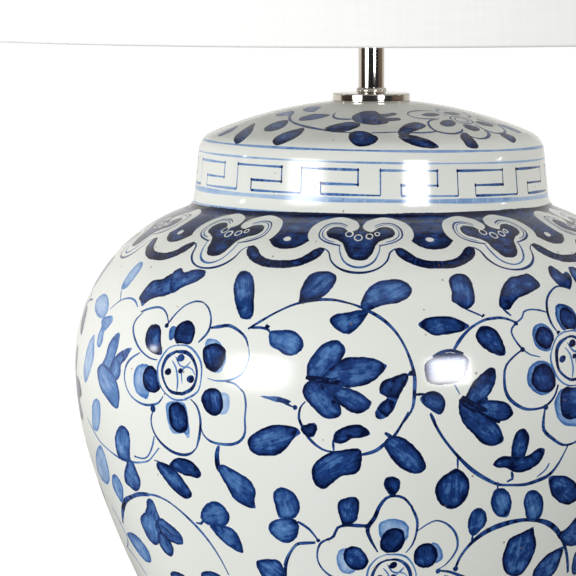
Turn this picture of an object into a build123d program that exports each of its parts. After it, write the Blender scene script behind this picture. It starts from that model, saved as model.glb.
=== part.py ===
"""Ginger jar table lamp: a moulded porcelain jar with its lid in one piece, drilled for a threaded
pipe, a nickel neck, a harp with its two locking ferrules, a turn-knob lampholder with its bulb, and a
hardback drum shade on a three-armed spider, held down by a finial.

Millimetres. +Z is up, the origin is on the table under the middle of the foot, and -Y is the front.
"""

import os
from math import asin, cos, degrees, radians, sin, sqrt, tan

from build123d import *

# ---- Fits shared by the whole lamp
SLIP = 0.3  # running gap between pieces that move on each other
SEAT = 0.05  # gap between fixed round pieces that fit in one another
PIPE_PLAY = 0.45  # gap between the pipe and each hole that it passes through

# ---- Porcelain jar
FELT_THICKNESS = 2.0
FOOT_RADIUS = 95.0
FOOT_WALL = 8.0
FOOT_HEIGHT = 16.0  # depth of the recess under the jar's floor
FLOOR_THICKNESS = 8.0
JAR_WALL = 5.5
BELLY_RADIUS = 146.0
BELLY_LEVEL = 155.5  # height of the widest girth above the table
SHOULDER_ROUND = 79.5
BELLY_ROUND = 160.0
BELLY_ROUND_TURN = 16.6  # degrees that the rounder part of the lower belly turns through
TAPER_ROUND = 400.0
ANKLE_FILLET = 2.5
COLLAR_RADIUS = 87.6  # lid skirt where it meets the shoulder
COLLAR_TOP_RADIUS = 84.5  # lid skirt where it meets the dome
COLLAR_FILLET = 7.0
LID_EDGE_ROUND = 11.0
DOME_ROUND = 200.0
DOME_TOP = 284.3  # where the dome would peak if its middle were not flat
LAND_RADIUS = 19.6  # flat in the middle of the dome that carries the neck plate

# ---- Threaded pipe and the pieces that it clamps
PIPE_RADIUS = 5.15
PIPE_BORE = 3.3
PIPE_TAIL = 5.5  # height of the pipe's lower end above the table
FOOT_CUSHION_RADIUS = 18.0
FOOT_CUSHION_THICKNESS = 2.0
FOOT_WASHER_RADIUS = 16.0
FOOT_WASHER_THICKNESS = 1.6
SPRING_WASHER_RADIUS = 8.6
SPRING_WASHER_THICKNESS = 1.6
SPRING_WASHER_SLIT = 1.5
FOOT_NUT_FLATS = 17.0
FOOT_NUT_THICKNESS = 4.0

# ---- Cord outlet
OUTLET_LEVEL = 9.0
OUTLET_HOLE = 4.6
GROMMET_BORE = 3.2
GROMMET_FLANGE_RADIUS = 6.0
GROMMET_FLANGE_THICKNESS = 1.5
GROMMET_EDGE_ROUND = 0.6

# ---- Nickel neck
GASKET_RADIUS = 15.0
GASKET_THICKNESS = 1.0
NECK_PLATE_RADIUS = 19.05
NECK_PLATE_THICKNESS = 4.0
NECK_PLATE_EDGE = 0.5
NECK_BEAD_RADIUS = 7.5
NECK_BEAD_HEIGHT = 2.7
NECK_TUBE_RADIUS = 6.35
NECK_TUBE_WALL = 0.8
NECK_TUBE_LENGTH = 41.0

# ---- Harp, its saddle and its two ferrules
SADDLE_THICKNESS = 1.6
SADDLE_DISC_RADIUS = 9.0
SADDLE_WIDTH = 11.0
SADDLE_BEND = 3.0
SADDLE_SHOULDER = 6.0  # height of the shoulders, on which the ferrules rest, above the saddle
EAR_WIDTH = 5.0
EAR_HEIGHT = 15.0  # above the shoulders
EAR_REACH = 28.6  # inner face of each ear from the lamp's axis
HARP_WIRE_RADIUS = 2.2
HARP_HEIGHT = 254.0  # from the saddle to the seat that carries the shade
HARP_HALF_WIDTH = 57.0
HARP_LEG_STRAIGHT = 43.0
HARP_FLARE_HEIGHT = 34.0
HARP_SHOULDER_DROP = 62.0
HARP_CROWN_HALF = 20.0
HARP_BEND = 24.0
HARP_SHOULDER_BEND = 52.0
HARP_CROWN_BEND = 26.0
FERRULE_BORE = 4.25
FERRULE_WALL = 0.9
FERRULE_LENGTH = 14.0
FERRULE_BEAD = 0.5
STUD_BLOCK_RADIUS = 5.0
STUD_BLOCK_DROP = 3.2  # below the middle of the wire
STUD_DISC_RADIUS = 8.0
STUD_DISC_THICKNESS = 1.6
STUD_RADIUS = 3.1
STUD_LENGTH = 13.0
LOCKNUT_FLATS = 14.0
LOCKNUT_THICKNESS = 3.0

# ---- Lampholder
CAP_HUB_RADIUS = 8.2
CAP_HUB_HEIGHT = 6.0
CAP_RADIUS = 17.0
CAP_DOME_HEIGHT = 10.0
CAP_SKIRT = 4.0
METAL = 0.6  # thickness of the drawn metal shells
SHELL_LENGTH = 41.0
SHELL_BEAD = 0.7
LINER_THICKNESS = 0.5
CORE_HEIGHT = 20.0
CORE_LIFT = 7.5  # bottom of the core above the top of the cap's hub
SCREW_SHELL_RADIUS = 13.8
SCREW_SHELL_LENGTH = 22.0
CONTACT_HEIGHT = 2.4
CONTACT_WIDTH = 5.0
CONTACT_LENGTH = 8.0
CONTACT_THICKNESS = 0.6
TERMINAL_RADIUS = 2.6
TERMINAL_HEAD = 1.6
SET_SCREW_RADIUS = 1.5
SET_SCREW_LENGTH = 4.0
SWITCH_LEVEL = 12.0  # height of the switch's axis above the bottom of the core
SWITCH_SHAFT_RADIUS = 2.0
SWITCH_SHAFT_SOCKET = 6.0
SWITCH_WINDOW = 3.2
KNOB_RADIUS = 5.0
KNOB_LENGTH = 13.0
KNOB_STANDOFF = 8.5  # from the shell to the knob
KNOB_GRIP_DEPTH = 8.0
KNOB_GROOVE = 0.55
KNOB_GROOVES = 12
KNOB_TIP_ROUND = 1.0

# ---- Bulb
BULB_BASE_RADIUS = 13.0
BULB_BASE_LENGTH = 21.0
BULB_BUTTON_RADIUS = 4.6
BULB_HEEL = 4.5
BULB_RADIUS = 30.0
BULB_LENGTH = 88.0
BULB_GLASS = 1.0

# ---- Drum shade
SHADE_BOTTOM_LEVEL = 317.0
SHADE_BOTTOM_RADIUS = 228.6
SHADE_TOP_RADIUS = 203.2
SHADE_HEIGHT = 280.0
FABRIC_THICKNESS = 0.8
STYRENE_THICKNESS = 0.8
HOOP_WIRE_RADIUS = 1.6
HEM_LIP = 9.0
HEM_PLAY = 0.3
SPIDER_WIRE_RADIUS = 1.6
SPIDER_HUB_RADIUS = 13.0
SPIDER_HUB_THICKNESS = 1.6
SPIDER_ARM_START = 8.0  # inner end of each arm, where it lies on the hub
SPIDER_ARM_BEND = 5.0

# ---- Finial
FINIAL_FOOT_RADIUS = 6.0
FINIAL_FOOT_HEIGHT = 2.0
FINIAL_COLLAR_RADIUS = 6.6
FINIAL_COLLAR_HEIGHT = 2.4
FINIAL_NECK_RADIUS = 4.7
FINIAL_NECK_LENGTH = 7.0
FINIAL_BALL_RADIUS = 9.5
FINIAL_TIP_RADIUS = 2.4
FINIAL_TIP_RISE = 1.6  # how far the tip stands above the ball
THREAD_PLAY = 0.1  # running gap of the finial on its stud
FINIAL_BORE_DEPTH = 13.0

# ---- Levels and places that follow from the sizes above
foot_bottom = FELT_THICKNESS
recess_top = foot_bottom + FOOT_HEIGHT
floor_top = recess_top + FLOOR_THICKNESS
land_level = DOME_TOP - DOME_ROUND + sqrt(DOME_ROUND**2 - LAND_RADIUS**2)
plate_top = land_level + NECK_PLATE_THICKNESS
saddle_bottom = plate_top + NECK_TUBE_LENGTH
saddle_top = saddle_bottom + SADDLE_THICKNESS
locknut_top = saddle_top + LOCKNUT_THICKNESS
hub_top = locknut_top + CAP_HUB_HEIGHT
cap_rim = hub_top + CAP_DOME_HEIGHT + CAP_SKIRT
shell_bottom = cap_rim - CAP_SKIRT
shell_top = shell_bottom + SHELL_LENGTH
core_bottom = hub_top + CORE_LIFT
core_top = core_bottom + CORE_HEIGHT
switch_level = core_bottom + SWITCH_LEVEL
contact_top = core_top + CONTACT_HEIGHT
harp_seat = saddle_top + HARP_HEIGHT
disc_bottom = harp_seat - STUD_DISC_THICKNESS
crown_level = disc_bottom - HARP_WIRE_RADIUS
leg_offset = EAR_REACH + SADDLE_THICKNESS + HARP_WIRE_RADIUS + SEAT
ferrule_offset = (EAR_REACH + leg_offset + HARP_WIRE_RADIUS) / 2
shoulder_level = saddle_top + SADDLE_SHOULDER
spider_hub_top = harp_seat + SPIDER_HUB_THICKNESS
shade_top = SHADE_BOTTOM_LEVEL + SHADE_HEIGHT
pipe_hole = PIPE_RADIUS + PIPE_PLAY
shell_radius = CAP_RADIUS - METAL - SEAT
liner_radius = shell_radius - METAL - SEAT
core_radius = liner_radius - LINER_THICKNESS - SEAT
shell_face = -shell_radius
knob_back = shell_face - KNOB_STANDOFF


def shade_radius(level):
    """Outer radius of the shade's fabric at a height above the table."""
    share = (level - SHADE_BOTTOM_LEVEL) / SHADE_HEIGHT
    return SHADE_BOTTOM_RADIUS + share * (SHADE_TOP_RADIUS - SHADE_BOTTOM_RADIUS)


def save(piece, name):
    """Labels a finished piece and writes it as the STEP of its own node."""
    piece.part.label = name
    export_step(piece.part, f"parts/{name}.step")


os.makedirs("parts", exist_ok=True)

# ================= Porcelain jar =================
shoulder_middle = (BELLY_RADIUS - SHOULDER_ROUND, BELLY_LEVEL)
belly_middle = (BELLY_RADIUS - BELLY_ROUND, BELLY_LEVEL)
turn = radians(BELLY_ROUND_TURN)
taper_middle = (
    belly_middle[0] - (TAPER_ROUND - BELLY_ROUND) * cos(turn),
    belly_middle[1] + (TAPER_ROUND - BELLY_ROUND) * sin(turn),
)
taper_end = -degrees(asin((taper_middle[1] - recess_top) / TAPER_ROUND))
ankle = taper_middle[0] + TAPER_ROUND * cos(radians(taper_end))
collar_turn = degrees(asin(sqrt(1 - ((COLLAR_RADIUS - shoulder_middle[0]) / SHOULDER_ROUND) ** 2)))
collar_level = BELLY_LEVEL + SHOULDER_ROUND * sin(radians(collar_turn))
lid_edge_level = DOME_TOP - DOME_ROUND + sqrt(DOME_ROUND**2 - COLLAR_TOP_RADIUS**2)
dome_start = degrees(asin(sqrt(1 - (COLLAR_TOP_RADIUS / DOME_ROUND) ** 2)))
dome_end = degrees(asin(sqrt(1 - (LAND_RADIUS / DOME_ROUND) ** 2)))

with BuildSketch(Plane.XZ) as jar_outline:
    with BuildLine():
        Line((0, foot_bottom), (FOOT_RADIUS, foot_bottom))
        Line((FOOT_RADIUS, foot_bottom), (FOOT_RADIUS, recess_top))
        Line((FOOT_RADIUS, recess_top), (ankle, recess_top))
        CenterArc(taper_middle, TAPER_ROUND, taper_end, -BELLY_ROUND_TURN - taper_end)
        CenterArc(belly_middle, BELLY_ROUND, -BELLY_ROUND_TURN, BELLY_ROUND_TURN)
        CenterArc(shoulder_middle, SHOULDER_ROUND, 0, collar_turn)
        Line((COLLAR_RADIUS, collar_level), (COLLAR_TOP_RADIUS, lid_edge_level))
        CenterArc((0, DOME_TOP - DOME_ROUND), DOME_ROUND, dome_start, dome_end - dome_start)
        Line((LAND_RADIUS, land_level), (0, land_level))
        Line((0, land_level), (0, foot_bottom))
    make_face()
    corners = jar_outline.vertices()
    fillet(corners.sort_by_distance((COLLAR_RADIUS, collar_level, 0))[0], COLLAR_FILLET)
    corners = jar_outline.vertices()
    fillet(corners.sort_by_distance((COLLAR_TOP_RADIUS, lid_edge_level, 0))[0], LID_EDGE_ROUND)
    corners = jar_outline.vertices()
    fillet(corners.sort_by_distance((FOOT_RADIUS, recess_top, 0))[0], ANKLE_FILLET)
    mirror(about=Plane.YZ)

with BuildSketch(Plane.XZ) as jar_inside:
    add(jar_outline.sketch)
    offset(amount=-JAR_WALL, mode=Mode.REPLACE)
    with Locations((0, floor_top + BELLY_RADIUS)):
        Rectangle(2 * BELLY_RADIUS, 2 * BELLY_RADIUS, mode=Mode.INTERSECT)

with BuildPart() as jar_body:
    with BuildSketch(Plane.XZ):
        add(jar_outline.sketch)
        add(jar_inside.sketch, mode=Mode.SUBTRACT)
        with Locations((0, foot_bottom)):
            Rectangle(
                2 * (FOOT_RADIUS - FOOT_WALL),
                FOOT_HEIGHT,
                align=(Align.CENTER, Align.MIN),
                mode=Mode.SUBTRACT,
            )
        with Locations((0, 0)):
            Rectangle(
                2 * pipe_hole, DOME_TOP, align=(Align.CENTER, Align.MIN), mode=Mode.SUBTRACT
            )
        with Locations((0, 0)):
            Rectangle(
                BELLY_RADIUS, DOME_TOP, align=(Align.MIN, Align.MIN), mode=Mode.INTERSECT
            )
    revolve(axis=Axis.Z)
    with BuildSketch(Plane.XZ):
        with Locations((0, OUTLET_LEVEL)):
            Circle(OUTLET_HOLE)
    extrude(amount=-FOOT_RADIUS, mode=Mode.SUBTRACT)
save(jar_body, "jar_body")

with BuildPart() as base_felt:
    Cylinder(
        FOOT_RADIUS - FELT_THICKNESS / 2,
        FELT_THICKNESS,
        align=(Align.CENTER, Align.CENTER, Align.MIN),
    )
save(base_felt, "base_felt")

# ================= Cord outlet =================
outlet_outer = FOOT_RADIUS
outlet_inner = sqrt((FOOT_RADIUS - FOOT_WALL) ** 2 - GROMMET_FLANGE_RADIUS**2) - SEAT
with BuildPart() as cord_grommet:
    with BuildSketch(Plane.XY.offset(OUTLET_LEVEL)):
        with BuildLine():
            Polyline(
                (GROMMET_BORE, outlet_inner - GROMMET_FLANGE_THICKNESS),
                (GROMMET_FLANGE_RADIUS, outlet_inner - GROMMET_FLANGE_THICKNESS),
                (GROMMET_FLANGE_RADIUS, outlet_inner),
                (OUTLET_HOLE - SEAT, outlet_inner),
                (OUTLET_HOLE - SEAT, outlet_outer),
                (GROMMET_FLANGE_RADIUS, outlet_outer),
                (GROMMET_FLANGE_RADIUS, outlet_outer + GROMMET_FLANGE_THICKNESS),
                (GROMMET_BORE, outlet_outer + GROMMET_FLANGE_THICKNESS),
                close=True,
            )
        make_face()
    revolve(axis=Axis((0, 0, OUTLET_LEVEL), (0, 1, 0)))
    flange_rims = cord_grommet.edges().filter_by(GeomType.CIRCLE).group_by(Axis.Y)
    fillet(
        [
            e
            for group in (flange_rims[0], flange_rims[-1])
            for e in group
            if e.radius > GROMMET_BORE + GROMMET_EDGE_ROUND
        ],
        GROMMET_EDGE_ROUND,
    )
save(cord_grommet, "cord_grommet")


# ================= Pipe and the pieces that it clamps =================
def ring(bottom, height, radius, hole):
    """A plain turned ring round the lamp's axis."""
    with BuildPart() as turned:
        with BuildSketch(Plane.XY.offset(bottom)):
            Circle(radius)
            Circle(hole, mode=Mode.SUBTRACT)
        extrude(amount=height)
    return turned


def hex_nut(bottom, height, flats):
    """A hexagon nut on the pipe, its corners turned off at both faces."""
    with BuildPart() as nut:
        with BuildSketch(Plane.XY.offset(bottom)):
            RegularPolygon(flats / 2, 6, major_radius=False)
            Circle(PIPE_RADIUS + SEAT, mode=Mode.SUBTRACT)
        extrude(amount=height)
        crown = flats / 2 / cos(radians(30))
        with BuildSketch(Plane.XZ) as corner_cone:
            with BuildLine():
                Polyline(
                    (0, bottom),
                    (flats / 2, bottom),
                    (crown, bottom + (crown - flats / 2) * tan(radians(30))),
                    (crown, bottom + height - (crown - flats / 2) * tan(radians(30))),
                    (flats / 2, bottom + height),
                    (0, bottom + height),
                    close=True,
                )
            make_face()
        revolve(axis=Axis.Z, mode=Mode.INTERSECT)
    return nut


pipe_top = hub_top + SEAT
with BuildPart() as lamp_pipe:
    with BuildSketch(Plane.XY.offset(PIPE_TAIL)):
        Circle(PIPE_RADIUS)
        Circle(PIPE_BORE, mode=Mode.SUBTRACT)
    extrude(amount=pipe_top - PIPE_TAIL)
    chamfer(
        lamp_pipe.edges().filter_by(GeomType.CIRCLE).filter_by(lambda e: e.radius > PIPE_BORE + SEAT),
        FABRIC_THICKNESS / 2,
    )
save(lamp_pipe, "lamp_pipe")

cushion_bottom = recess_top - FOOT_CUSHION_THICKNESS
foot_washer_bottom = cushion_bottom - FOOT_WASHER_THICKNESS
spring_washer_bottom = foot_washer_bottom - SPRING_WASHER_THICKNESS
foot_nut_bottom = spring_washer_bottom - FOOT_NUT_THICKNESS
save(
    ring(cushion_bottom, FOOT_CUSHION_THICKNESS, FOOT_CUSHION_RADIUS, PIPE_RADIUS + SEAT),
    "foot_rubber_cushion",
)
save(
    ring(foot_washer_bottom, FOOT_WASHER_THICKNESS, FOOT_WASHER_RADIUS, PIPE_RADIUS + SEAT),
    "foot_steel_washer",
)
with BuildPart() as spring_washer:
    with BuildSketch(Plane.XY.offset(spring_washer_bottom)):
        Circle(SPRING_WASHER_RADIUS)
        Circle(PIPE_RADIUS + SEAT, mode=Mode.SUBTRACT)
        with Locations((SPRING_WASHER_RADIUS, 0)):
            Rectangle(SPRING_WASHER_RADIUS, SPRING_WASHER_SLIT, rotation=20, mode=Mode.SUBTRACT)
    extrude(amount=SPRING_WASHER_THICKNESS)
save(spring_washer, "foot_spring_washer")
save(hex_nut(foot_nut_bottom, FOOT_NUT_THICKNESS, FOOT_NUT_FLATS), "foot_nut")

# ================= Nickel neck =================
save(ring(land_level, GASKET_THICKNESS, GASKET_RADIUS, PIPE_RADIUS + SEAT), "neck_gasket")
with BuildPart() as neck_plate:
    with BuildSketch(Plane.XY.offset(land_level)):
        Circle(NECK_PLATE_RADIUS)
        Circle(PIPE_RADIUS + SEAT, mode=Mode.SUBTRACT)
    extrude(amount=NECK_PLATE_THICKNESS)
    with BuildSketch(Plane.XY.offset(land_level)):
        Circle(GASKET_RADIUS + SEAT)
    extrude(amount=GASKET_THICKNESS, mode=Mode.SUBTRACT)
    rims = neck_plate.edges().filter_by(GeomType.CIRCLE).filter_by(lambda e: e.radius > GASKET_RADIUS + 1)
    fillet(rims.sort_by(Axis.Z)[-1], NECK_PLATE_EDGE)
    rims = neck_plate.edges().filter_by(GeomType.CIRCLE).filter_by(lambda e: e.radius > GASKET_RADIUS + 1)
    chamfer(rims.sort_by(Axis.Z)[0], NECK_PLATE_EDGE)
save(neck_plate, "neck_plate")

with BuildPart() as neck_bead:
    with BuildSketch(Plane.XY.offset(plate_top)):
        Circle(NECK_BEAD_RADIUS)
        Circle(NECK_TUBE_RADIUS + SEAT, mode=Mode.SUBTRACT)
    extrude(amount=NECK_BEAD_HEIGHT)
    outer_rims = neck_bead.edges().filter_by(GeomType.CIRCLE).filter_by(
        lambda e: e.radius > NECK_BEAD_RADIUS - SEAT
    )
    fillet(outer_rims, min(NECK_BEAD_HEIGHT / 2, NECK_BEAD_RADIUS - NECK_TUBE_RADIUS) - SEAT * 2)
save(neck_bead, "neck_bead")
save(
    ring(plate_top, NECK_TUBE_LENGTH, NECK_TUBE_RADIUS, NECK_TUBE_RADIUS - NECK_TUBE_WALL),
    "neck_tube",
)

# ================= Harp =================
ear_top = shoulder_level + EAR_HEIGHT
ear_middle = EAR_REACH + SADDLE_THICKNESS / 2
strip_middle = saddle_bottom + SADDLE_THICKNESS / 2
with BuildPart() as harp_saddle:
    with BuildSketch(Plane.XZ):
        with BuildLine():
            FilletPolyline(
                (-ear_middle, ear_top),
                (-ear_middle, strip_middle),
                (ear_middle, strip_middle),
                (ear_middle, ear_top),
                radius=SADDLE_BEND,
            )
        trace(line_width=SADDLE_THICKNESS)
    extrude(amount=SADDLE_WIDTH / 2, both=True)
    with BuildSketch(Plane.YZ):
        with Locations((EAR_WIDTH / 2, shoulder_level), (-SADDLE_WIDTH / 2, shoulder_level)):
            Rectangle(
                (SADDLE_WIDTH - EAR_WIDTH) / 2, EAR_HEIGHT, align=(Align.MIN, Align.MIN)
            )
    extrude(amount=EAR_REACH + SADDLE_THICKNESS, both=True, mode=Mode.SUBTRACT)
    ear_corners = harp_saddle.edges().filter_by(Axis.X).group_by(Axis.Z)[-1]
    fillet(ear_corners, EAR_WIDTH / 2 - SEAT)
    with BuildSketch(Plane.XY.offset(saddle_bottom)):
        Circle(SADDLE_DISC_RADIUS)
    extrude(amount=SADDLE_THICKNESS)
    with BuildSketch(Plane.XY.offset(saddle_bottom)):
        Circle(PIPE_RADIUS + SEAT)
    extrude(amount=SADDLE_THICKNESS, mode=Mode.SUBTRACT)
save(harp_saddle, "harp_saddle")

flare_bottom = shoulder_level + HARP_LEG_STRAIGHT - SADDLE_SHOULDER
flare_top = flare_bottom + HARP_FLARE_HEIGHT
harp_shoulder = crown_level - HARP_SHOULDER_DROP
with BuildPart() as harp:
    with BuildLine() as bow:
        FilletPolyline(
            (leg_offset, 0, shoulder_level),
            (leg_offset, 0, flare_bottom),
            (HARP_HALF_WIDTH, 0, flare_top),
            (HARP_HALF_WIDTH, 0, harp_shoulder),
            (HARP_CROWN_HALF, 0, crown_level),
            (-HARP_CROWN_HALF, 0, crown_level),
            (-HARP_HALF_WIDTH, 0, harp_shoulder),
            (-HARP_HALF_WIDTH, 0, flare_top),
            (-leg_offset, 0, flare_bottom),
            (-leg_offset, 0, shoulder_level),
            radius=(
                HARP_BEND,
                HARP_BEND,
                HARP_SHOULDER_BEND,
                HARP_CROWN_BEND,
                HARP_CROWN_BEND,
                HARP_SHOULDER_BEND,
                HARP_BEND,
                HARP_BEND,
            ),
        )
    with BuildSketch(Plane(origin=bow.line @ 0, z_dir=bow.line % 0)):
        Circle(HARP_WIRE_RADIUS)
    sweep(path=bow.line)
save(harp, "harp")

with BuildPart() as harp_stud:
    with BuildSketch(Plane.XY.offset(crown_level - STUD_BLOCK_DROP)):
        Circle(STUD_BLOCK_RADIUS)
    extrude(amount=disc_bottom - crown_level + STUD_BLOCK_DROP)
    with BuildSketch(Plane.XY.offset(disc_bottom)):
        Circle(STUD_DISC_RADIUS)
    extrude(amount=STUD_DISC_THICKNESS)
    with BuildSketch(Plane.XY.offset(harp_seat)):
        Circle(STUD_RADIUS)
    extrude(amount=STUD_LENGTH)
    chamfer(harp_stud.edges().filter_by(GeomType.CIRCLE).sort_by(Axis.Z)[-1], STUD_RADIUS / 4)
    with BuildSketch(Plane.YZ) as wire_hole:
        with Locations((0, crown_level)):
            Circle(HARP_WIRE_RADIUS + SEAT)
    extrude(amount=STUD_DISC_RADIUS, both=True, mode=Mode.SUBTRACT)
save(harp_stud, "harp_stud")

for side, name in ((-1, "left"), (1, "right")):
    middle = side * ferrule_offset
    skin = middle + FERRULE_BORE + FERRULE_WALL
    with BuildPart() as ferrule:
        with BuildSketch(Plane.XZ):
            with BuildLine():
                Polyline(
                    (middle + FERRULE_BORE, shoulder_level),
                    (skin + FERRULE_BEAD, shoulder_level),
                    (skin + FERRULE_BEAD, shoulder_level + 3 * FERRULE_BEAD),
                    (skin, shoulder_level + 4 * FERRULE_BEAD),
                    (skin, shoulder_level + FERRULE_LENGTH),
                    (middle + FERRULE_BORE, shoulder_level + FERRULE_LENGTH),
                    close=True,
                )
            make_face()
        revolve(axis=Axis((middle, 0, 0), (0, 0, 1)))
    save(ferrule, f"harp_ferrule_{name}")

save(hex_nut(saddle_top, LOCKNUT_THICKNESS, LOCKNUT_FLATS), "saddle_locknut")

# ================= Lampholder =================
cap_outer = (
    (CAP_HUB_RADIUS, locknut_top),
    (CAP_HUB_RADIUS, hub_top),
    (CAP_RADIUS, hub_top + CAP_DOME_HEIGHT),
    (CAP_RADIUS, cap_rim),
)
with BuildPart() as socket_cap:
    with BuildSketch(Plane.XZ):
        with BuildLine():
            Line((PIPE_RADIUS + SEAT, locknut_top), cap_outer[0])
            Line(cap_outer[0], cap_outer[1])
            RadiusArc(cap_outer[1], cap_outer[2], -CAP_DOME_HEIGHT - METAL)
            Line(cap_outer[2], cap_outer[3])
            Line(cap_outer[3], (CAP_RADIUS - METAL, cap_rim))
            Line((CAP_RADIUS - METAL, cap_rim), (CAP_RADIUS - METAL, hub_top + CAP_DOME_HEIGHT))
            RadiusArc(
                (CAP_RADIUS - METAL, hub_top + CAP_DOME_HEIGHT),
                (CAP_HUB_RADIUS, hub_top + METAL),
                CAP_DOME_HEIGHT,
            )
            Line((CAP_HUB_RADIUS, hub_top + METAL), (PIPE_RADIUS + SEAT, hub_top + METAL))
            Line((PIPE_RADIUS + SEAT, hub_top + METAL), (PIPE_RADIUS + SEAT, locknut_top))
        make_face()
    revolve(axis=Axis.Z)
    with BuildSketch(Plane.XZ):
        with Locations((0, locknut_top + CAP_HUB_HEIGHT / 2)):
            Circle(SET_SCREW_RADIUS + SEAT)
    extrude(amount=-CAP_HUB_RADIUS, mode=Mode.SUBTRACT)
save(socket_cap, "socket_cap")

with BuildPart() as socket_set_screw:
    screw_tip = PIPE_RADIUS + 2 * SEAT
    with BuildSketch(Plane.XZ.offset(-screw_tip)):
        with Locations((0, locknut_top + CAP_HUB_HEIGHT / 2)):
            Circle(SET_SCREW_RADIUS)
    extrude(amount=-SET_SCREW_LENGTH)
    slot_plane = Plane.XZ.offset(-screw_tip - SET_SCREW_LENGTH)
    with BuildSketch(slot_plane):
        with Locations((0, locknut_top + CAP_HUB_HEIGHT / 2)):
            Rectangle(2 * SET_SCREW_RADIUS, SET_SCREW_RADIUS / 3)
    extrude(amount=SET_SCREW_RADIUS / 2, mode=Mode.SUBTRACT)
save(socket_set_screw, "socket_set_screw")

with BuildPart() as socket_shell:
    with BuildSketch(Plane.XZ):
        with BuildLine():
            Polyline(
                (shell_radius - METAL, shell_bottom),
                (shell_radius, shell_bottom),
                (shell_radius, shell_top - 4 * SHELL_BEAD),
                (shell_radius + SHELL_BEAD, shell_top - 3 * SHELL_BEAD),
                (shell_radius + SHELL_BEAD, shell_top - SHELL_BEAD),
                (shell_radius, shell_top),
                (shell_radius - METAL, shell_top),
                close=True,
            )
        make_face()
    revolve(axis=Axis.Z)
    with BuildSketch(Plane.XZ):
        with Locations((0, switch_level)):
            Circle(SWITCH_WINDOW)
    extrude(amount=2 * CAP_RADIUS, mode=Mode.SUBTRACT)
save(socket_shell, "socket_shell")

with BuildPart() as socket_liner:
    with BuildSketch(Plane.XY.offset(shell_bottom)):
        Circle(liner_radius)
        Circle(liner_radius - LINER_THICKNESS, mode=Mode.SUBTRACT)
    extrude(amount=SHELL_LENGTH - METAL)
    with BuildSketch(Plane.XZ):
        with Locations((0, switch_level)):
            Circle(SWITCH_WINDOW)
    extrude(amount=2 * CAP_RADIUS, mode=Mode.SUBTRACT)
save(socket_liner, "socket_liner")

terminal_level = core_bottom + SWITCH_LEVEL / 2
with BuildPart() as socket_core:
    with BuildSketch(Plane.XY.offset(core_bottom)):
        Circle(core_radius)
        with Locations((core_radius, 0), (-core_radius, 0)):
            Rectangle(2 * TERMINAL_HEAD, 4 * TERMINAL_RADIUS, mode=Mode.SUBTRACT)
    extrude(amount=CORE_HEIGHT)
    with BuildSketch(Plane.XZ):
        with Locations((0, switch_level)):
            Circle(SWITCH_SHAFT_RADIUS + SLIP)
    extrude(amount=core_radius, mode=Mode.SUBTRACT)
    with BuildSketch(Plane.XY.offset(core_bottom)):
        Circle(PIPE_BORE)
    extrude(amount=SWITCH_LEVEL / 3, mode=Mode.SUBTRACT)
save(socket_core, "socket_core")

with BuildPart() as terminal_screws:
    for side in (-1, 1):
        flat = side * (core_radius - TERMINAL_HEAD)
        with BuildSketch(Plane.YZ.offset(flat)):
            with Locations((0, terminal_level)):
                Circle(TERMINAL_RADIUS)
        extrude(amount=side * (TERMINAL_HEAD - SEAT) / 2)
save(terminal_screws, "terminal_screws")

with BuildPart() as screw_shell:
    with BuildSketch(Plane.XY.offset(core_top)):
        Circle(SCREW_SHELL_RADIUS)
        Circle(SCREW_SHELL_RADIUS - METAL, mode=Mode.SUBTRACT)
    extrude(amount=SCREW_SHELL_LENGTH)
save(screw_shell, "screw_shell")

with BuildPart() as centre_contact:
    with BuildSketch(Plane.XZ):
        with BuildLine():
            Polyline(
                (-CONTACT_LENGTH / 2, core_top),
                (CONTACT_LENGTH / 2, core_top),
                (CONTACT_LENGTH / 2, core_top + CONTACT_THICKNESS),
                (-CONTACT_LENGTH / 2 + 2 * CONTACT_THICKNESS, core_top + CONTACT_THICKNESS),
                (0, contact_top - CONTACT_THICKNESS),
                (CONTACT_LENGTH / 3, contact_top - CONTACT_THICKNESS),
                (CONTACT_LENGTH / 3, contact_top),
                (-CONTACT_THICKNESS, contact_top),
                (-CONTACT_LENGTH / 2, core_top + 2 * CONTACT_THICKNESS),
                close=True,
            )
        make_face()
    extrude(amount=CONTACT_WIDTH / 2, both=True)
save(centre_contact, "centre_contact")

# ================= Switch =================
shaft_inner = -core_radius + SWITCH_SHAFT_SOCKET
with BuildPart() as switch_shaft:
    with BuildSketch(Plane.XZ.offset(-shaft_inner)):
        with Locations((0, switch_level)):
            Circle(SWITCH_SHAFT_RADIUS)
    extrude(amount=shaft_inner - knob_back + KNOB_LENGTH / 2)
save(switch_shaft, "switch_shaft")

with BuildPart() as switch_knob:
    with BuildSketch(Plane.XZ.offset(-knob_back)):
        with Locations((0, switch_level)):
            Circle(KNOB_RADIUS)
            with PolarLocations(KNOB_RADIUS, KNOB_GROOVES):
                Circle(KNOB_GROOVE, mode=Mode.SUBTRACT)
    extrude(amount=KNOB_GRIP_DEPTH)
    with BuildSketch(Plane.XZ.offset(-knob_back + KNOB_GRIP_DEPTH)):
        with Locations((0, switch_level)):
            Circle(KNOB_RADIUS - KNOB_GROOVE)
    extrude(amount=KNOB_LENGTH - KNOB_GRIP_DEPTH)
    tip = switch_knob.faces().sort_by(Axis.Y)[0]
    fillet(tip.edges(), KNOB_TIP_ROUND)
    with BuildSketch(Plane.XZ.offset(-knob_back)):
        with Locations((0, switch_level)):
            Circle(SWITCH_SHAFT_RADIUS + SEAT)
    extrude(amount=KNOB_LENGTH / 2, mode=Mode.SUBTRACT)
save(switch_knob, "switch_knob")

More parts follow.
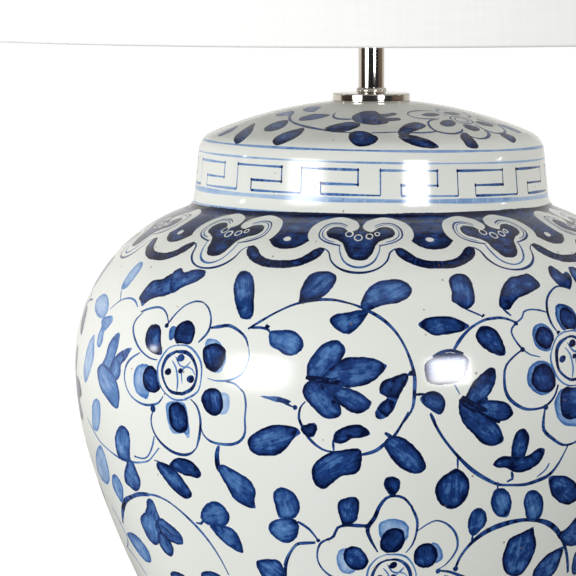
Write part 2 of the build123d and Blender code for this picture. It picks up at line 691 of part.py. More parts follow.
# ================= Bulb =================
heel_top = contact_top + BULB_HEEL
base_top = heel_top + BULB_BASE_LENGTH
with BuildPart() as bulb_base:
    with BuildSketch(Plane.XZ):
        with BuildLine():
            Polyline(
                (0, contact_top),
                (BULB_BUTTON_RADIUS, contact_top),
                (BULB_BASE_RADIUS, heel_top),
                (BULB_BASE_RADIUS, base_top),
                (0, base_top),
                close=True,
            )
        make_face()
    revolve(axis=Axis.Z)
save(bulb_base, "bulb_base")

bulb_widest = base_top + BULB_LENGTH - BULB_RADIUS
with BuildPart() as bulb_glass:
    with BuildSketch(Plane.XZ) as bulb_half:
        with BuildLine():
            neck_foot = (BULB_BASE_RADIUS - SEAT, base_top)
            neck = Line(neck_foot, (BULB_BASE_RADIUS + BULB_GLASS, base_top + BULB_BASE_RADIUS))
            crown = CenterArc((0, bulb_widest), BULB_RADIUS, -20, 110)
            Spline(neck @ 1, crown @ 0, tangents=(neck % 1, crown % 0))
            Line(crown @ 1, (0, base_top))
            Line((0, base_top), neck_foot)
        make_face()
    revolve(axis=Axis.Z)
    offset(amount=-BULB_GLASS, openings=bulb_glass.faces().sort_by(Axis.Z)[0])
save(bulb_glass, "bulb_glass")

# ================= Drum shade =================
hem_depth = 2 * FABRIC_THICKNESS + STYRENE_THICKNESS + 2 * HOOP_WIRE_RADIUS + 2 * HEM_PLAY
liner_low = SHADE_BOTTOM_LEVEL + FABRIC_THICKNESS
liner_high = shade_top - FABRIC_THICKNESS
bottom_hoop_level = liner_low + HEM_PLAY + HOOP_WIRE_RADIUS
top_hoop_level = liner_high - HEM_PLAY - HOOP_WIRE_RADIUS
arm_headings = (90, 210, 330)


def hoop_middle(level):
    """Distance of a hoop's wire from the axis when it lies in the hem at this height."""
    return shade_radius(level) - FABRIC_THICKNESS - STYRENE_THICKNESS - HEM_PLAY - HOOP_WIRE_RADIUS


def radial_plane(heading):
    """The upright plane through the lamp's axis, x outwards at this heading and y upwards."""
    outwards = (cos(radians(heading)), sin(radians(heading)), 0)
    return Plane(origin=(0, 0, 0), x_dir=outwards, z_dir=(outwards[1], -outwards[0], 0))


with BuildPart() as shade_fabric:
    with BuildSketch(Plane.XZ):
        with BuildLine():
            low, high = SHADE_BOTTOM_LEVEL, shade_top
            skin = FABRIC_THICKNESS
            Polyline(
                (shade_radius(low), low),
                (shade_radius(high), high),
                (shade_radius(high) - hem_depth, high),
                (shade_radius(high - HEM_LIP) - hem_depth, high - HEM_LIP),
                (shade_radius(high - HEM_LIP) - hem_depth + skin, high - HEM_LIP),
                (shade_radius(high - skin) - hem_depth + skin, high - skin),
                (shade_radius(high - skin) - skin, high - skin),
                (shade_radius(low + skin) - skin, low + skin),
                (shade_radius(low + skin) - hem_depth + skin, low + skin),
                (shade_radius(low + HEM_LIP) - hem_depth + skin, low + HEM_LIP),
                (shade_radius(low + HEM_LIP) - hem_depth, low + HEM_LIP),
                (shade_radius(low) - hem_depth, low),
                close=True,
            )
        make_face()
    revolve(axis=Axis.Z)
    notch_start = shade_radius(high) - 2 * hem_depth
    notch_length = hoop_middle(top_hoop_level) - notch_start
    for heading in arm_headings:
        with BuildSketch(Plane.XY.offset(high - 1.5 * HEM_LIP)):
            with Locations(radial_plane(heading).x_dir * (notch_start + notch_length / 2)):
                Rectangle(
                    notch_length, 2 * (SPIDER_WIRE_RADIUS + HEM_PLAY), rotation=heading
                )
        extrude(amount=1.5 * HEM_LIP - FABRIC_THICKNESS, mode=Mode.SUBTRACT)
save(shade_fabric, "shade_fabric")

with BuildPart() as shade_liner:
    with BuildSketch(Plane.XZ):
        with BuildLine():
            Polyline(
                (shade_radius(liner_low) - FABRIC_THICKNESS, liner_low),
                (shade_radius(liner_high) - FABRIC_THICKNESS, liner_high),
                (shade_radius(liner_high) - FABRIC_THICKNESS - STYRENE_THICKNESS, liner_high),
                (shade_radius(liner_low) - FABRIC_THICKNESS - STYRENE_THICKNESS, liner_low),
                close=True,
            )
        make_face()
    revolve(axis=Axis.Z)
save(shade_liner, "shade_liner")

for level, name in ((bottom_hoop_level, "bottom_hoop"), (top_hoop_level, "top_hoop")):
    with BuildPart() as hoop:
        with BuildSketch(Plane.XZ):
            with Locations((hoop_middle(level), level)):
                Circle(HOOP_WIRE_RADIUS)
        revolve(axis=Axis.Z)
    save(hoop, name)
top_hoop = hoop

save(
    ring(harp_seat, SPIDER_HUB_THICKNESS, SPIDER_HUB_RADIUS, STUD_RADIUS + SLIP), "spider_hub"
)
arm_level = spider_hub_top + SPIDER_WIRE_RADIUS
for heading, name in zip(arm_headings, ("rear", "left", "right")):
    with BuildPart() as spider_arm:
        with BuildLine(radial_plane(heading)) as arm_path:
            FilletPolyline(
                (SPIDER_ARM_START, arm_level),
                (SPIDER_HUB_RADIUS, arm_level),
                (hoop_middle(top_hoop_level), top_hoop_level),
                radius=SPIDER_ARM_BEND,
            )
        with BuildSketch(Plane(origin=arm_path.line @ 0, z_dir=arm_path.line % 0)):
            Circle(SPIDER_WIRE_RADIUS)
        sweep(path=arm_path.line)
        add(top_hoop.part, mode=Mode.SUBTRACT)
    save(spider_arm, f"spider_arm_{name}")

# ================= Finial =================
finial_collar = spider_hub_top + FINIAL_FOOT_HEIGHT
finial_neck = finial_collar + FINIAL_COLLAR_HEIGHT
ball_bottom = finial_neck + FINIAL_NECK_LENGTH
ball_middle = ball_bottom + sqrt(FINIAL_BALL_RADIUS**2 - FINIAL_NECK_RADIUS**2)
ball_start = -degrees(asin((ball_middle - ball_bottom) / FINIAL_BALL_RADIUS))
tip_level = ball_middle + sqrt(FINIAL_BALL_RADIUS**2 - FINIAL_TIP_RADIUS**2)
tip_start = degrees(asin((tip_level - ball_middle) / FINIAL_BALL_RADIUS))
with BuildPart() as finial:
    with BuildSketch(Plane.XZ):
        with BuildLine():
            Polyline(
                (0, spider_hub_top),
                (FINIAL_FOOT_RADIUS, spider_hub_top),
                (FINIAL_FOOT_RADIUS, finial_collar),
            )
            collar_middle = finial_collar + FINIAL_COLLAR_HEIGHT / 2
            collar_top = (FINIAL_NECK_RADIUS, finial_neck)
            ThreePointArc(
                (FINIAL_FOOT_RADIUS, finial_collar),
                (FINIAL_COLLAR_RADIUS, collar_middle),
                collar_top,
            )
            Line(collar_top, (FINIAL_NECK_RADIUS, ball_bottom))
            CenterArc((0, ball_middle), FINIAL_BALL_RADIUS, ball_start, tip_start - ball_start)
            Polyline(
                (FINIAL_TIP_RADIUS, tip_level),
                (FINIAL_TIP_RADIUS, tip_level + FINIAL_TIP_RISE),
                (0, tip_level + FINIAL_TIP_RISE),
                (0, spider_hub_top),
            )
        make_face()
    revolve(axis=Axis.Z)
    tip_rim = finial.edges().filter_by(GeomType.CIRCLE).sort_by(Axis.Z)[-1]
    fillet(tip_rim, FINIAL_TIP_RISE / 2)
    with BuildSketch(Plane.XY.offset(spider_hub_top)):
        Circle(STUD_RADIUS + THREAD_PLAY)
    extrude(amount=FINIAL_BORE_DEPTH, mode=Mode.SUBTRACT)
save(finial, "finial")
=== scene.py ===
import math
import random

import bmesh
import bpy
import numpy as np
from bpy.props import FloatProperty, FloatVectorProperty, PointerProperty
from bpy.types import Operator, Panel, PropertyGroup
from mathutils import Matrix, Vector
from mathutils.geometry import delaunay_2d_cdt


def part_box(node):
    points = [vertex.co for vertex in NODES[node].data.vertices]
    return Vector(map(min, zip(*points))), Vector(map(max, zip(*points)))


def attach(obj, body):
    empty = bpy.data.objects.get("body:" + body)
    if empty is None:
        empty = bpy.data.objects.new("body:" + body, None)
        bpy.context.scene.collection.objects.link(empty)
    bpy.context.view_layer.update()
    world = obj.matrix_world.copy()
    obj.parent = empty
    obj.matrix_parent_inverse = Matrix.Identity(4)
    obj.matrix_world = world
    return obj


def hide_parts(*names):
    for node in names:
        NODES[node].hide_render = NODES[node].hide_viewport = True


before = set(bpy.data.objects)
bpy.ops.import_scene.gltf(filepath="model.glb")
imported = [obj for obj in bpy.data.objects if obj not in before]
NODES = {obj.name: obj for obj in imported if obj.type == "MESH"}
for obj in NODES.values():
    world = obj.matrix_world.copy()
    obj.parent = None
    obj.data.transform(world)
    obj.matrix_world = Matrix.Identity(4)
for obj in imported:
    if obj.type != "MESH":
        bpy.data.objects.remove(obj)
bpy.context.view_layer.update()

bl_info = {
    "name": "Ginger jar lamp",
    "version": (1, 0, 0),
    "blender": (4, 5, 0),
    "location": "3D View > Sidebar > Lamp",
    "description": "Models a painted porcelain ginger jar lamp round its CAD frame",
    "category": "Object",
}

MM = 0.001
SHARP = math.radians(35)  # edges that turn by more than this stay crisp
PIPE_HOLE = 5.6  # mm, radius of the holes that the threaded pipe passes through


# ---------------------------------------------------------------- settings


def length(name, description, millimetres):
    """A length setting, given in millimetres and kept in metres."""
    return FloatProperty(
        name=name, description=description, default=millimetres * MM, min=0.0, unit="LENGTH"
    )


def colour(name, description, rgb):
    """A colour setting, given as the screen's 0 to 255 values."""
    linear = [
        c / 12.92 if c <= 0.04045 else ((c + 0.055) / 1.055) ** 2.4 for c in (v / 255 for v in rgb)
    ]
    return FloatVectorProperty(
        name=name, description=description, default=linear, size=3, min=0.0, max=1.0, subtype="COLOR"
    )


class JarSettings(PropertyGroup):
    foot_radius: length("Foot radius", "Outer radius of the unglazed foot ring", 95.0)
    foot_height: length("Foot height", "Depth of the recess under the floor", 16.0)
    foot_wall: length("Foot wall", "Thickness of the foot ring", 8.0)
    felt: length("Felt", "Thickness of the felt under the foot ring", 2.0)
    floor: length("Floor", "Thickness of the jar's floor", 8.0)
    ankle: length("Ankle", "Depth of the round above the foot ring", 2.5)
    cord_level: length("Cord level", "Height of the cord's hole at the back", 9.0)
    cord_hole: length("Cord hole", "Radius of the cord's hole", 4.6)
    wall: length("Wall", "Thickness of the jar's wall", 5.5)
    belly_radius: length("Belly radius", "Radius at the widest girth", 146.0)
    belly_level: length("Belly level", "Height of the widest girth", 155.5)
    shoulder_round: length("Shoulder round", "Radius of the shoulder's curve", 79.5)
    belly_round: length("Belly round", "Radius of the curve under the girth", 160.0)
    taper_round: length("Taper round", "Radius of the long curve down to the foot", 400.0)
    collar_radius: length("Collar radius", "Lid band where it meets the shoulder", 87.6)
    collar_top: length("Collar top radius", "Lid band where it meets the dome", 84.5)
    collar_fillet: length("Collar fillet", "Hollow between shoulder and lid band", 7.0)
    lid_edge: length("Lid edge", "Round between the lid band and the dome", 11.0)
    dome_round: length("Dome round", "Radius of the lid's dome", 200.0)
    dome_top: length("Dome top", "Height where the dome would peak", 284.3)
    land_radius: length("Land radius", "Flat that carries the neck plate", 19.6)
    repeat: FloatProperty(
        name="Repeat", description="Turn from the front's leaves to the same leaves round the side",
        default=math.radians(77.0), subtype="ANGLE",
    )
    hang: FloatProperty(
        name="Hang", description="Where the curve under the girth gives way to the long curve",
        default=math.radians(16.6), subtype="ANGLE",
    )
    glaze: colour("Glaze", "The bare glaze", (226, 228, 223))
    wash: colour("Wash", "Thin cobalt wash", (160, 186, 220))
    thin_blue: colour("Thin blue", "Cobalt of a line or a light streak", (82, 126, 184))
    leaf_blue: colour("Leaf blue", "Cobalt as brushed on a leaf", (30, 63, 126))
    navy: colour("Navy", "Cobalt where it pools", (8, 20, 56))
    clay: colour("Clay", "Bare clay at the foot, where the glaze was wiped off", (216, 200, 176))
    speck: colour("Iron speck", "Brown specks in the glaze", (120, 92, 62))


class MetalSettings(PropertyGroup):
    nickel: colour("Nickel", "Polished nickel", (226, 221, 213))
    satin: colour("Satin nickel", "Brushed nickel of the harp and its saddle", (205, 200, 192))
    zinc: colour("Zinc", "Plated steel of the hidden fittings", (190, 192, 190))
    brass: colour("Brass", "Brass of the lampholder's contacts", (214, 178, 104))
    plate_edge: length("Plate edge", "Round on the rims of the neck plate", 0.5)


class ShadeSettings(PropertyGroup):
    linen: colour("Linen", "Fabric of the shade", (248, 248, 246))
    lining: colour("Lining", "Stiff white lining", (250, 249, 246))
    thread: length("Thread", "Distance between threads of the weave", 0.55)
    hem: length("Hem", "Depth of the turned hem", 9.0)


class StageSettings(PropertyGroup):
    camera_place: FloatVectorProperty(
        name="Camera", description="Where the camera stands", default=(-0.041, -2.4, 0.390),
        size=3, subtype="TRANSLATION", unit="LENGTH",
    )
    camera_aim: FloatVectorProperty(
        name="Aim", description="What the camera points at", default=(-0.041, 0.0, 0.191),
        size=3, subtype="TRANSLATION", unit="LENGTH",
    )
    lens: FloatProperty(name="Lens", description="Focal length in mm", default=305.0, min=10.0)
    box_radiance: FloatProperty(
        name="Soft boxes", description="How bright the soft boxes are in reflections", default=20.0, min=0.0
    )


# ---------------------------------------------------------------- materials


class Value:
    """A shader socket that Python's arithmetic works on by adding Math nodes."""

    def __init__(self, finish, socket):
        self.finish, self.socket = finish, socket

    def maths(self, operation, *others, clamp=False):
        node = self.finish.node("ShaderNodeMath", {"operation": operation, "use_clamp": clamp})
        for slot, other in zip(node.inputs, (self, *others)):
            self.finish.feed(slot, other)
        return Value(self.finish, node.outputs[0])

    def __add__(self, other):
        return self.maths("ADD", other)

    def __radd__(self, other):
        return self.maths("ADD", other)

    def __sub__(self, other):
        return self.maths("SUBTRACT", other)

    def __rsub__(self, other):
        return (self * -1.0) + other

    def __mul__(self, other):
        return self.maths("MULTIPLY", other)

    def __rmul__(self, other):
        return self.maths("MULTIPLY", other)

    def __truediv__(self, other):
        return self.maths("DIVIDE", other)

    def clamped(self):
        return self.maths("ADD", 0.0, clamp=True)

    def step(self, low, high):
        """0 below low, 1 above high and smooth between them."""
        node = self.finish.node(
            "ShaderNodeMapRange", {"interpolation_type": "SMOOTHSTEP"},
            {"Value": self, "From Min": low, "From Max": high},
        )
        return Value(self.finish, node.outputs["Result"])


class Finish:
    """A material under construction, with its Principled shader."""

    def __init__(self, name, **sockets):
        self.material = bpy.data.materials.new(name)
        self.material.use_nodes = True
        self.tree = self.material.node_tree
        self.shader = self.tree.nodes["Principled BSDF"]
        for socket, value in sockets.items():
            self.set(socket.replace("_", " "), value)

    @classmethod
    def over(cls, tree):
        """The same help for a node tree that isn't a material's, emptied first."""
        finish = cls.__new__(cls)
        finish.tree = tree
        tree.nodes.clear()
        return finish

    def feed(self, socket, value):
        """Sets a socket to a plain value, or links it to another socket."""
        if isinstance(value, Value):
            self.tree.links.new(value.socket, socket)
        elif isinstance(value, bpy.types.NodeSocket):
            self.tree.links.new(value, socket)
        elif hasattr(value, "__len__") and len(value) == 3 and socket.type == "RGBA":
            socket.default_value = (*value, 1.0)
        else:
            socket.default_value = value

    def set(self, socket, value):
        self.feed(self.shader.inputs[socket], value)

    def node(self, kind, settings=None, sockets=None):
        """Adds a node, its settings first and then its sockets. A ramp's stops are a setting."""
        node = self.tree.nodes.new(kind)
        for name, value in (settings or {}).items():
            if name == "stops":
                ramp = node.color_ramp
                while len(ramp.elements) < len(value):
                    ramp.elements.new(1.0)
                for element, (place, rgb) in zip(ramp.elements, value):
                    element.position, element.color = place, (*rgb, 1.0)
            else:
                setattr(node, name, value)
        for name, value in (sockets or {}).items():
            self.feed(node.inputs[name], value)
        return node

    def place(self, scale=(1.0, 1.0, 1.0)):
        """Object coordinates, scaled."""
        source = self.node("ShaderNodeTexCoord").outputs["Object"]
        return self.node(
            "ShaderNodeMapping", {"vector_type": "POINT"}, {"Vector": source, "Scale": scale}
        ).outputs["Vector"]

    def unrolled(self, scale=(1.0, 1.0, 1.0)):
        """The piece's own UV map, scaled."""
        source = self.node("ShaderNodeUVMap", {"uv_map": "OFBake"}).outputs["UV"]
        return self.node(
            "ShaderNodeMapping", {"vector_type": "POINT"}, {"Vector": source, "Scale": scale}
        ).outputs["Vector"]

    def noise(self, vector, scale, detail=2.0, roughness=0.5):
        node = self.node(
            "ShaderNodeTexNoise", {},
            {"Vector": vector, "Scale": scale, "Detail": detail, "Roughness": roughness},
        )
        return Value(self, node.outputs["Fac"])

    def mix(self, factor, first, second):
        """A colour between two colours."""
        node = self.node("ShaderNodeMix", {"data_type": "RGBA"})
        self.feed(node.inputs["Factor"], factor)
        self.feed(node.inputs[6], first)
        self.feed(node.inputs[7], second)
        return node.outputs[2]

    def bump(self, height, distance, strength=1.0):
        """Feeds the shader's Normal from a height in 0 to 1, distance metres deep."""
        sockets = {"Height": height, "Distance": distance, "Strength": strength}
        self.set("Normal", self.node("ShaderNodeBump", {}, sockets).outputs["Normal"])


def polished_nickel(metal):
    finish = Finish("polished_nickel", Metallic=1.0)
    cloud = finish.noise(finish.place(), 60.0, 3.0)
    finish.set("Base Color", finish.mix(cloud, metal.nickel, [c * 0.93 for c in metal.nickel]))
    finish.set("Roughness", 0.045 + cloud * 0.05)
    finish.bump(finish.noise(finish.place((1, 1, 6)), 400.0, 2.0), 0.00001, 0.3)
    return finish.material


def satin_nickel(metal):
    finish = Finish("satin_nickel", Metallic=1.0)
    grain = finish.noise(finish.place((1, 1, 0.06)), 2200.0, 2.0)
    finish.set("Base Color", finish.mix(grain, metal.satin, [c * 0.85 for c in metal.satin]))
    finish.set("Roughness", 0.2 + grain * 0.14)
    finish.bump(grain, 0.00002, 0.5)
    return finish.material


def socket_nickel(metal):
    finish = Finish("socket_nickel", Metallic=1.0)
    grain = finish.noise(finish.place((1, 1, 5)), 900.0, 2.0)
    finish.set("Base Color", finish.mix(grain, metal.satin, [c * 0.9 for c in metal.nickel]))
    finish.set("Roughness", 0.16 + grain * 0.1)
    finish.bump(grain, 0.00002, 0.3)
    return finish.material


def zinc_steel(metal):
    finish = Finish("zinc_steel", Metallic=1.0)
    spangle = finish.noise(finish.place(), 700.0, 4.0, 0.7)
    finish.set("Base Color", finish.mix(spangle, metal.zinc, [c * 0.75 for c in metal.zinc]))
    finish.set("Roughness", 0.28 + spangle * 0.2)
    finish.bump(spangle, 0.00003, 0.4)
    return finish.material


def brass(metal):
    finish = Finish("brass", Metallic=1.0)
    tarnish = finish.noise(finish.place(), 300.0, 4.0, 0.6)
    finish.set("Base Color", finish.mix(tarnish, metal.brass, [c * 0.72 for c in metal.brass]))
    finish.set("Roughness", 0.2 + tarnish * 0.18)
    finish.bump(tarnish, 0.00002, 0.3)
    return finish.material


def bulb_aluminium():
    finish = Finish("bulb_aluminium", Metallic=1.0)
    scuff = finish.noise(finish.place((1, 1, 4)), 500.0, 3.0)
    finish.set("Base Color", finish.mix(scuff, (0.75, 0.75, 0.76), (0.6, 0.6, 0.62)))
    finish.set("Roughness", 0.3 + scuff * 0.15)
    finish.bump(scuff, 0.00002, 0.4)
    return finish.material


def frosted_glass():
    finish = Finish("frosted_glass", Transmission_Weight=0.2, IOR=1.45)
    grain = finish.noise(finish.place(), 2500.0, 2.0)
    finish.set("Base Color", finish.mix(grain, (0.95, 0.95, 0.94), (0.9, 0.9, 0.89)))
    finish.set("Roughness", 0.5 + grain * 0.15)
    finish.bump(grain, 0.00001, 0.5)
    return finish.material


def moulded(name, tint, roughness):
    """A moulded plastic, rubber or fibre piece."""
    finish = Finish(name, Specular_IOR_Level=0.4)
    pores = finish.noise(finish.place(), 900.0, 3.0)
    finish.set("Base Color", finish.mix(pores, tint, [c * 0.7 for c in tint]))
    finish.set("Roughness", roughness + pores * 0.12)
    finish.bump(pores, 0.00004, 0.5)
    return finish.material


def pressed_felt(tint):
    finish = Finish("felt", Sheen_Weight=0.4, Sheen_Roughness=0.6)
    fibre = finish.noise(finish.place((1, 1, 3)), 1500.0, 6.0, 0.75)
    finish.set("Base Color", finish.mix(fibre, tint, [c * 0.45 for c in tint]))
    finish.set("Roughness", 0.85 + fibre * 0.15)
    finish.bump(fibre, 0.0004, 0.9)
    return finish.material


def lacquered_wire(shade):
    finish = Finish("white_wire", Specular_IOR_Level=0.5)
    dip = finish.noise(finish.place(), 250.0, 3.0)
    finish.set("Base Color", finish.mix(dip, shade.lining, [c * 0.88 for c in shade.lining]))
    finish.set("Roughness", 0.28 + dip * 0.12)
    finish.bump(dip, 0.00006, 0.4)
    return finish.material


def woven_linen(shade, round_about, tall):
    """Plain weave laid over the unrolled drum, round_about by tall metres."""
    finish = Finish("linen", Sheen_Weight=0.15, Sheen_Roughness=0.5, Specular_IOR_Level=0.2)
    across, up = round_about / shade.thread, tall / shade.thread
    flat = finish.node("ShaderNodeUVMap", {"uv_map": "OFBake"}).outputs["UV"]
    parts = finish.node("ShaderNodeSeparateXYZ", {}, {"Vector": flat})
    u, v = Value(finish, parts.outputs["X"]), Value(finish, parts.outputs["Y"])
    warp = (u * (across * math.pi)).maths("SINE").maths("ABSOLUTE")
    weft = (v * (up * math.pi)).maths("SINE").maths("ABSOLUTE")
    slub = finish.noise(finish.unrolled((across * 0.02, up * 0.6, 1.0)), 1.0, 3.0)
    slub_up = finish.noise(finish.unrolled((across * 0.6, up * 0.02, 1.0)), 1.0, 3.0)
    weave = (warp + weft) * 0.35 + (slub + slub_up) * 0.15
    tone = ((slub + slub_up) * 0.5).step(0.3, 0.7)
    finish.set("Base Color", finish.mix(tone, [c * 0.965 for c in shade.linen], shade.linen))
    finish.set("Roughness", 0.92 - weave * 0.1)
    finish.bump(weave, 0.00012, 0.35)
    return finish.material


def styrene(shade):
    finish = Finish("styrene", Specular_IOR_Level=0.4)
    cloud = finish.noise(finish.place(), 35.0, 4.0)
    finish.set("Base Color", finish.mix(cloud, shade.lining, [c * 0.95 for c in shade.lining]))
    finish.set("Roughness", 0.42 + cloud * 0.1)
    finish.bump(finish.noise(finish.place(), 900.0, 2.0), 0.00003, 0.4)
    return finish.material


def painted_glaze(jar):
    """Cobalt under a clear glaze. The mesh carries each stroke's strength, the distance to its edge,
    and where a point lies along and across it."""
    finish = Finish("painted_glaze", IOR=1.5)
    paint = finish.node("ShaderNodeAttribute", {"attribute_name": "paint"}).outputs["Vector"]
    brush = finish.node("ShaderNodeAttribute", {"attribute_name": "brush"}).outputs["Vector"]
    painted = finish.node("ShaderNodeSeparateXYZ", {}, {"Vector": paint})
    tone, edge = (Value(finish, painted.outputs[a]) for a in "XY")
    place = finish.place()
    streaks = finish.noise(brush, 1.0, 3.0, 0.6)
    cloud = finish.noise(place, 85.0, 4.0, 0.55)
    blotch = finish.noise(place, 150.0, 3.0, 0.6).step(0.36, 0.66)
    fine = finish.noise(place, 600.0, 3.0, 0.6)
    bristles = finish.noise(brush, 3.2, 2.0, 0.7)
    body = tone * (0.62 + blotch * 0.22 + streaks.step(0.3, 0.7) * 0.16 + (cloud - 0.5) * 0.4)
    body = body + tone * ((bristles - 0.5) * 0.4 - edge.step(1.2, 4.0) * 0.12)
    rim = (1.0 - edge.step(0.4, 1.9)) * tone * 0.3
    soft = edge.step(-0.1, 0.35) * 0.4 + 0.6
    density = ((body + rim) * soft + (fine - 0.5) * 0.12 * tone).clamped()
    cobalt = finish.node(
        "ShaderNodeValToRGB",
        {"stops": [
            (0.0, jar.glaze),
            (0.2, jar.wash),
            (0.4, jar.thin_blue),
            (0.64, jar.leaf_blue),
            (0.95, jar.navy),
        ]},
        {"Fac": density},
    ).outputs["Color"]
    drift = finish.noise(place, 9.0, 3.0)
    warm = finish.mix(drift.step(0.3, 0.7), (1.0, 1.0, 1.0), (0.965, 0.975, 0.955))
    toned = finish.node(
        "ShaderNodeMix", {"data_type": "RGBA", "blend_type": "MULTIPLY"}, {0: 1.0, 6: cobalt, 7: warm}
    ).outputs[2]
    cell = finish.node(
        "ShaderNodeTexVoronoi", {"feature": "F1", "voronoi_dimensions": "2D"},
        {"Vector": finish.unrolled((76.0, 36.0, 1.0)), "Scale": 1.0, "Randomness": 1.0},
    )
    lot = finish.node("ShaderNodeSeparateColor", {}, {"Color": cell.outputs["Color"]})
    chance = Value(finish, lot.outputs["Red"]).step(0.915, 0.925)
    size = Value(finish, lot.outputs["Green"]) * 0.045 + 0.025
    spot = 1.0 - (Value(finish, cell.outputs["Distance"]) / size).step(0.5, 1.0)
    level = Value(finish, finish.node("ShaderNodeSeparateXYZ", {}, {"Vector": place}).outputs["Z"])
    glazed = (level + (cloud - 0.5) * 0.002).step(0.0046, 0.0056)
    clay = finish.mix(fine, jar.clay, [c * 0.8 for c in jar.clay])
    finish.set("Base Color", finish.mix(glazed, clay, finish.mix(spot * chance * 0.75, toned, jar.speck)))
    finish.set("Roughness", 0.09 + cloud * 0.05 + (1.0 - glazed) * 0.7)
    finish.bump(finish.noise(place, 55.0, 2.0), 0.0002, 0.12)
    return finish.material


# ---------------------------------------------------------------- modelling


def select_only(piece=None):
    """Deselects everything, and then selects the piece."""
    if bpy.context.object and bpy.context.object.mode != "OBJECT":
        bpy.ops.object.mode_set(mode="OBJECT")
    bpy.ops.object.select_all(action="DESELECT")
    if piece is not None:
        piece.select_set(True)
        bpy.context.view_layer.objects.active = piece


def new_piece(name, mesh):
    piece = bpy.data.objects.new(name, mesh)
    bpy.context.scene.collection.objects.link(piece)
    return piece


def rounded(corners, steps=5):
    """An outline in mm whose corners are (radius, height) or (radius, height, round)."""
    points = []
    for i, corner in enumerate(corners):
        here = Vector(corner[:2])
        if len(corner) < 3:
            points.append(here)
            continue
        before, after = Vector(corners[i - 1][:2]), Vector(corners[(i + 1) % len(corners)][:2])
        a, b = (before - here).normalized(), (after - here).normalized()
        half = a.angle(b) / 2
        reach = corner[2] / math.tan(half)
        centre = here + (a + b).normalized() * (corner[2] / math.sin(half))
        start, end = here + a * reach - centre, here + b * reach - centre
        turn = start.angle_signed(end)
        for k in range(steps + 1):
            spin = Matrix.Rotation(-turn * k / steps, 2)
            points.append(centre + spin @ start)
    return points


def turned(name, corners, steps=96, rounds=5):
    """A piece spun from a closed outline of (radius, height) corners in mm, as on a lathe."""
    outline = rounded(corners, rounds)
    mesh = bpy.data.meshes.new(name)
    count = len(outline)
    edges = [(i, (i + 1) % count) for i in range(count)]
    mesh.from_pydata([(p.x * MM, 0.0, p.y * MM) for p in outline], edges, [])
    piece = new_piece(name, mesh)
    select_only(piece)
    bpy.ops.object.mode_set(mode="EDIT")
    bpy.ops.mesh.select_all(action="SELECT")
    bpy.ops.mesh.spin(steps=steps, angle=math.tau, center=(0, 0, 0), axis=(0, 0, 1))
    bpy.ops.mesh.select_all(action="SELECT")
    bpy.ops.mesh.remove_doubles(threshold=1e-6)
    bpy.ops.mesh.normals_make_consistent(inside=False)
    bpy.ops.object.mode_set(mode="OBJECT")
    bpy.ops.object.shade_smooth_by_angle(angle=SHARP)
    return piece


def wire(name, points, radius, around=4):
    """A round wire of that radius through points in mm, made a mesh with closed ends."""
    curve = bpy.data.curves.new(name, "CURVE")
    curve.dimensions = "3D"
    curve.bevel_depth, curve.bevel_resolution = radius * MM, around
    curve.use_fill_caps = True
    spline = curve.splines.new("POLY")
    spline.points.add(len(points) - 1)
    for point, place in zip(spline.points, points):
        point.co = (*(c * MM for c in place), 1.0)
    piece = new_piece(name, curve)
    select_only(piece)
    bpy.ops.object.convert(target="MESH")
    bpy.ops.object.mode_set(mode="EDIT")
    bpy.ops.mesh.select_all(action="SELECT")
    bpy.ops.mesh.remove_doubles(threshold=1e-6)
    bpy.ops.mesh.normals_make_consistent(inside=False)
    bpy.ops.object.mode_set(mode="OBJECT")
    bpy.ops.object.shade_smooth_by_angle(angle=math.radians(40))
    return bpy.context.object


def bent(corners, steps=10):
    """A path in mm whose inner corners (x, y, z, bend) are rounded to that bend's radius."""
    path = [Vector(corners[0][:3])]
    for before, corner, after in zip(corners, corners[1:], corners[2:]):
        here = Vector(corner[:3])
        a, b = (Vector(before[:3]) - here).normalized(), (Vector(after[:3]) - here).normalized()
        half = a.angle(b) / 2
        reach = corner[3] / math.tan(half)
        centre = here + (a + b).normalized() * (corner[3] / math.sin(half))
        start, end = here + a * reach - centre, here + b * reach - centre
        for k in range(steps + 1):
            path.append(centre + start.slerp(end, k / steps).normalized() * corner[3])
    path.append(Vector(corners[-1][:3]))
    return path


def dress(piece, material, body, slot, *replaced):
    """Gives a finished piece its material and lets it ride on its body. The slot is not used."""
    piece.data.materials.clear()
    piece.data.materials.append(material)
    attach(piece, body)
    if replaced:
        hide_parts(*replaced)


def finish_nodes(material, *names):
    """Gives CAD nodes that stay in view their material."""
    for name in names:
        for slot in NODES[name].material_slots:
            slot.material = material
        if not NODES[name].material_slots:
            NODES[name].data.materials.append(material)


# ---------------------------------------------------------------- the jar's skin


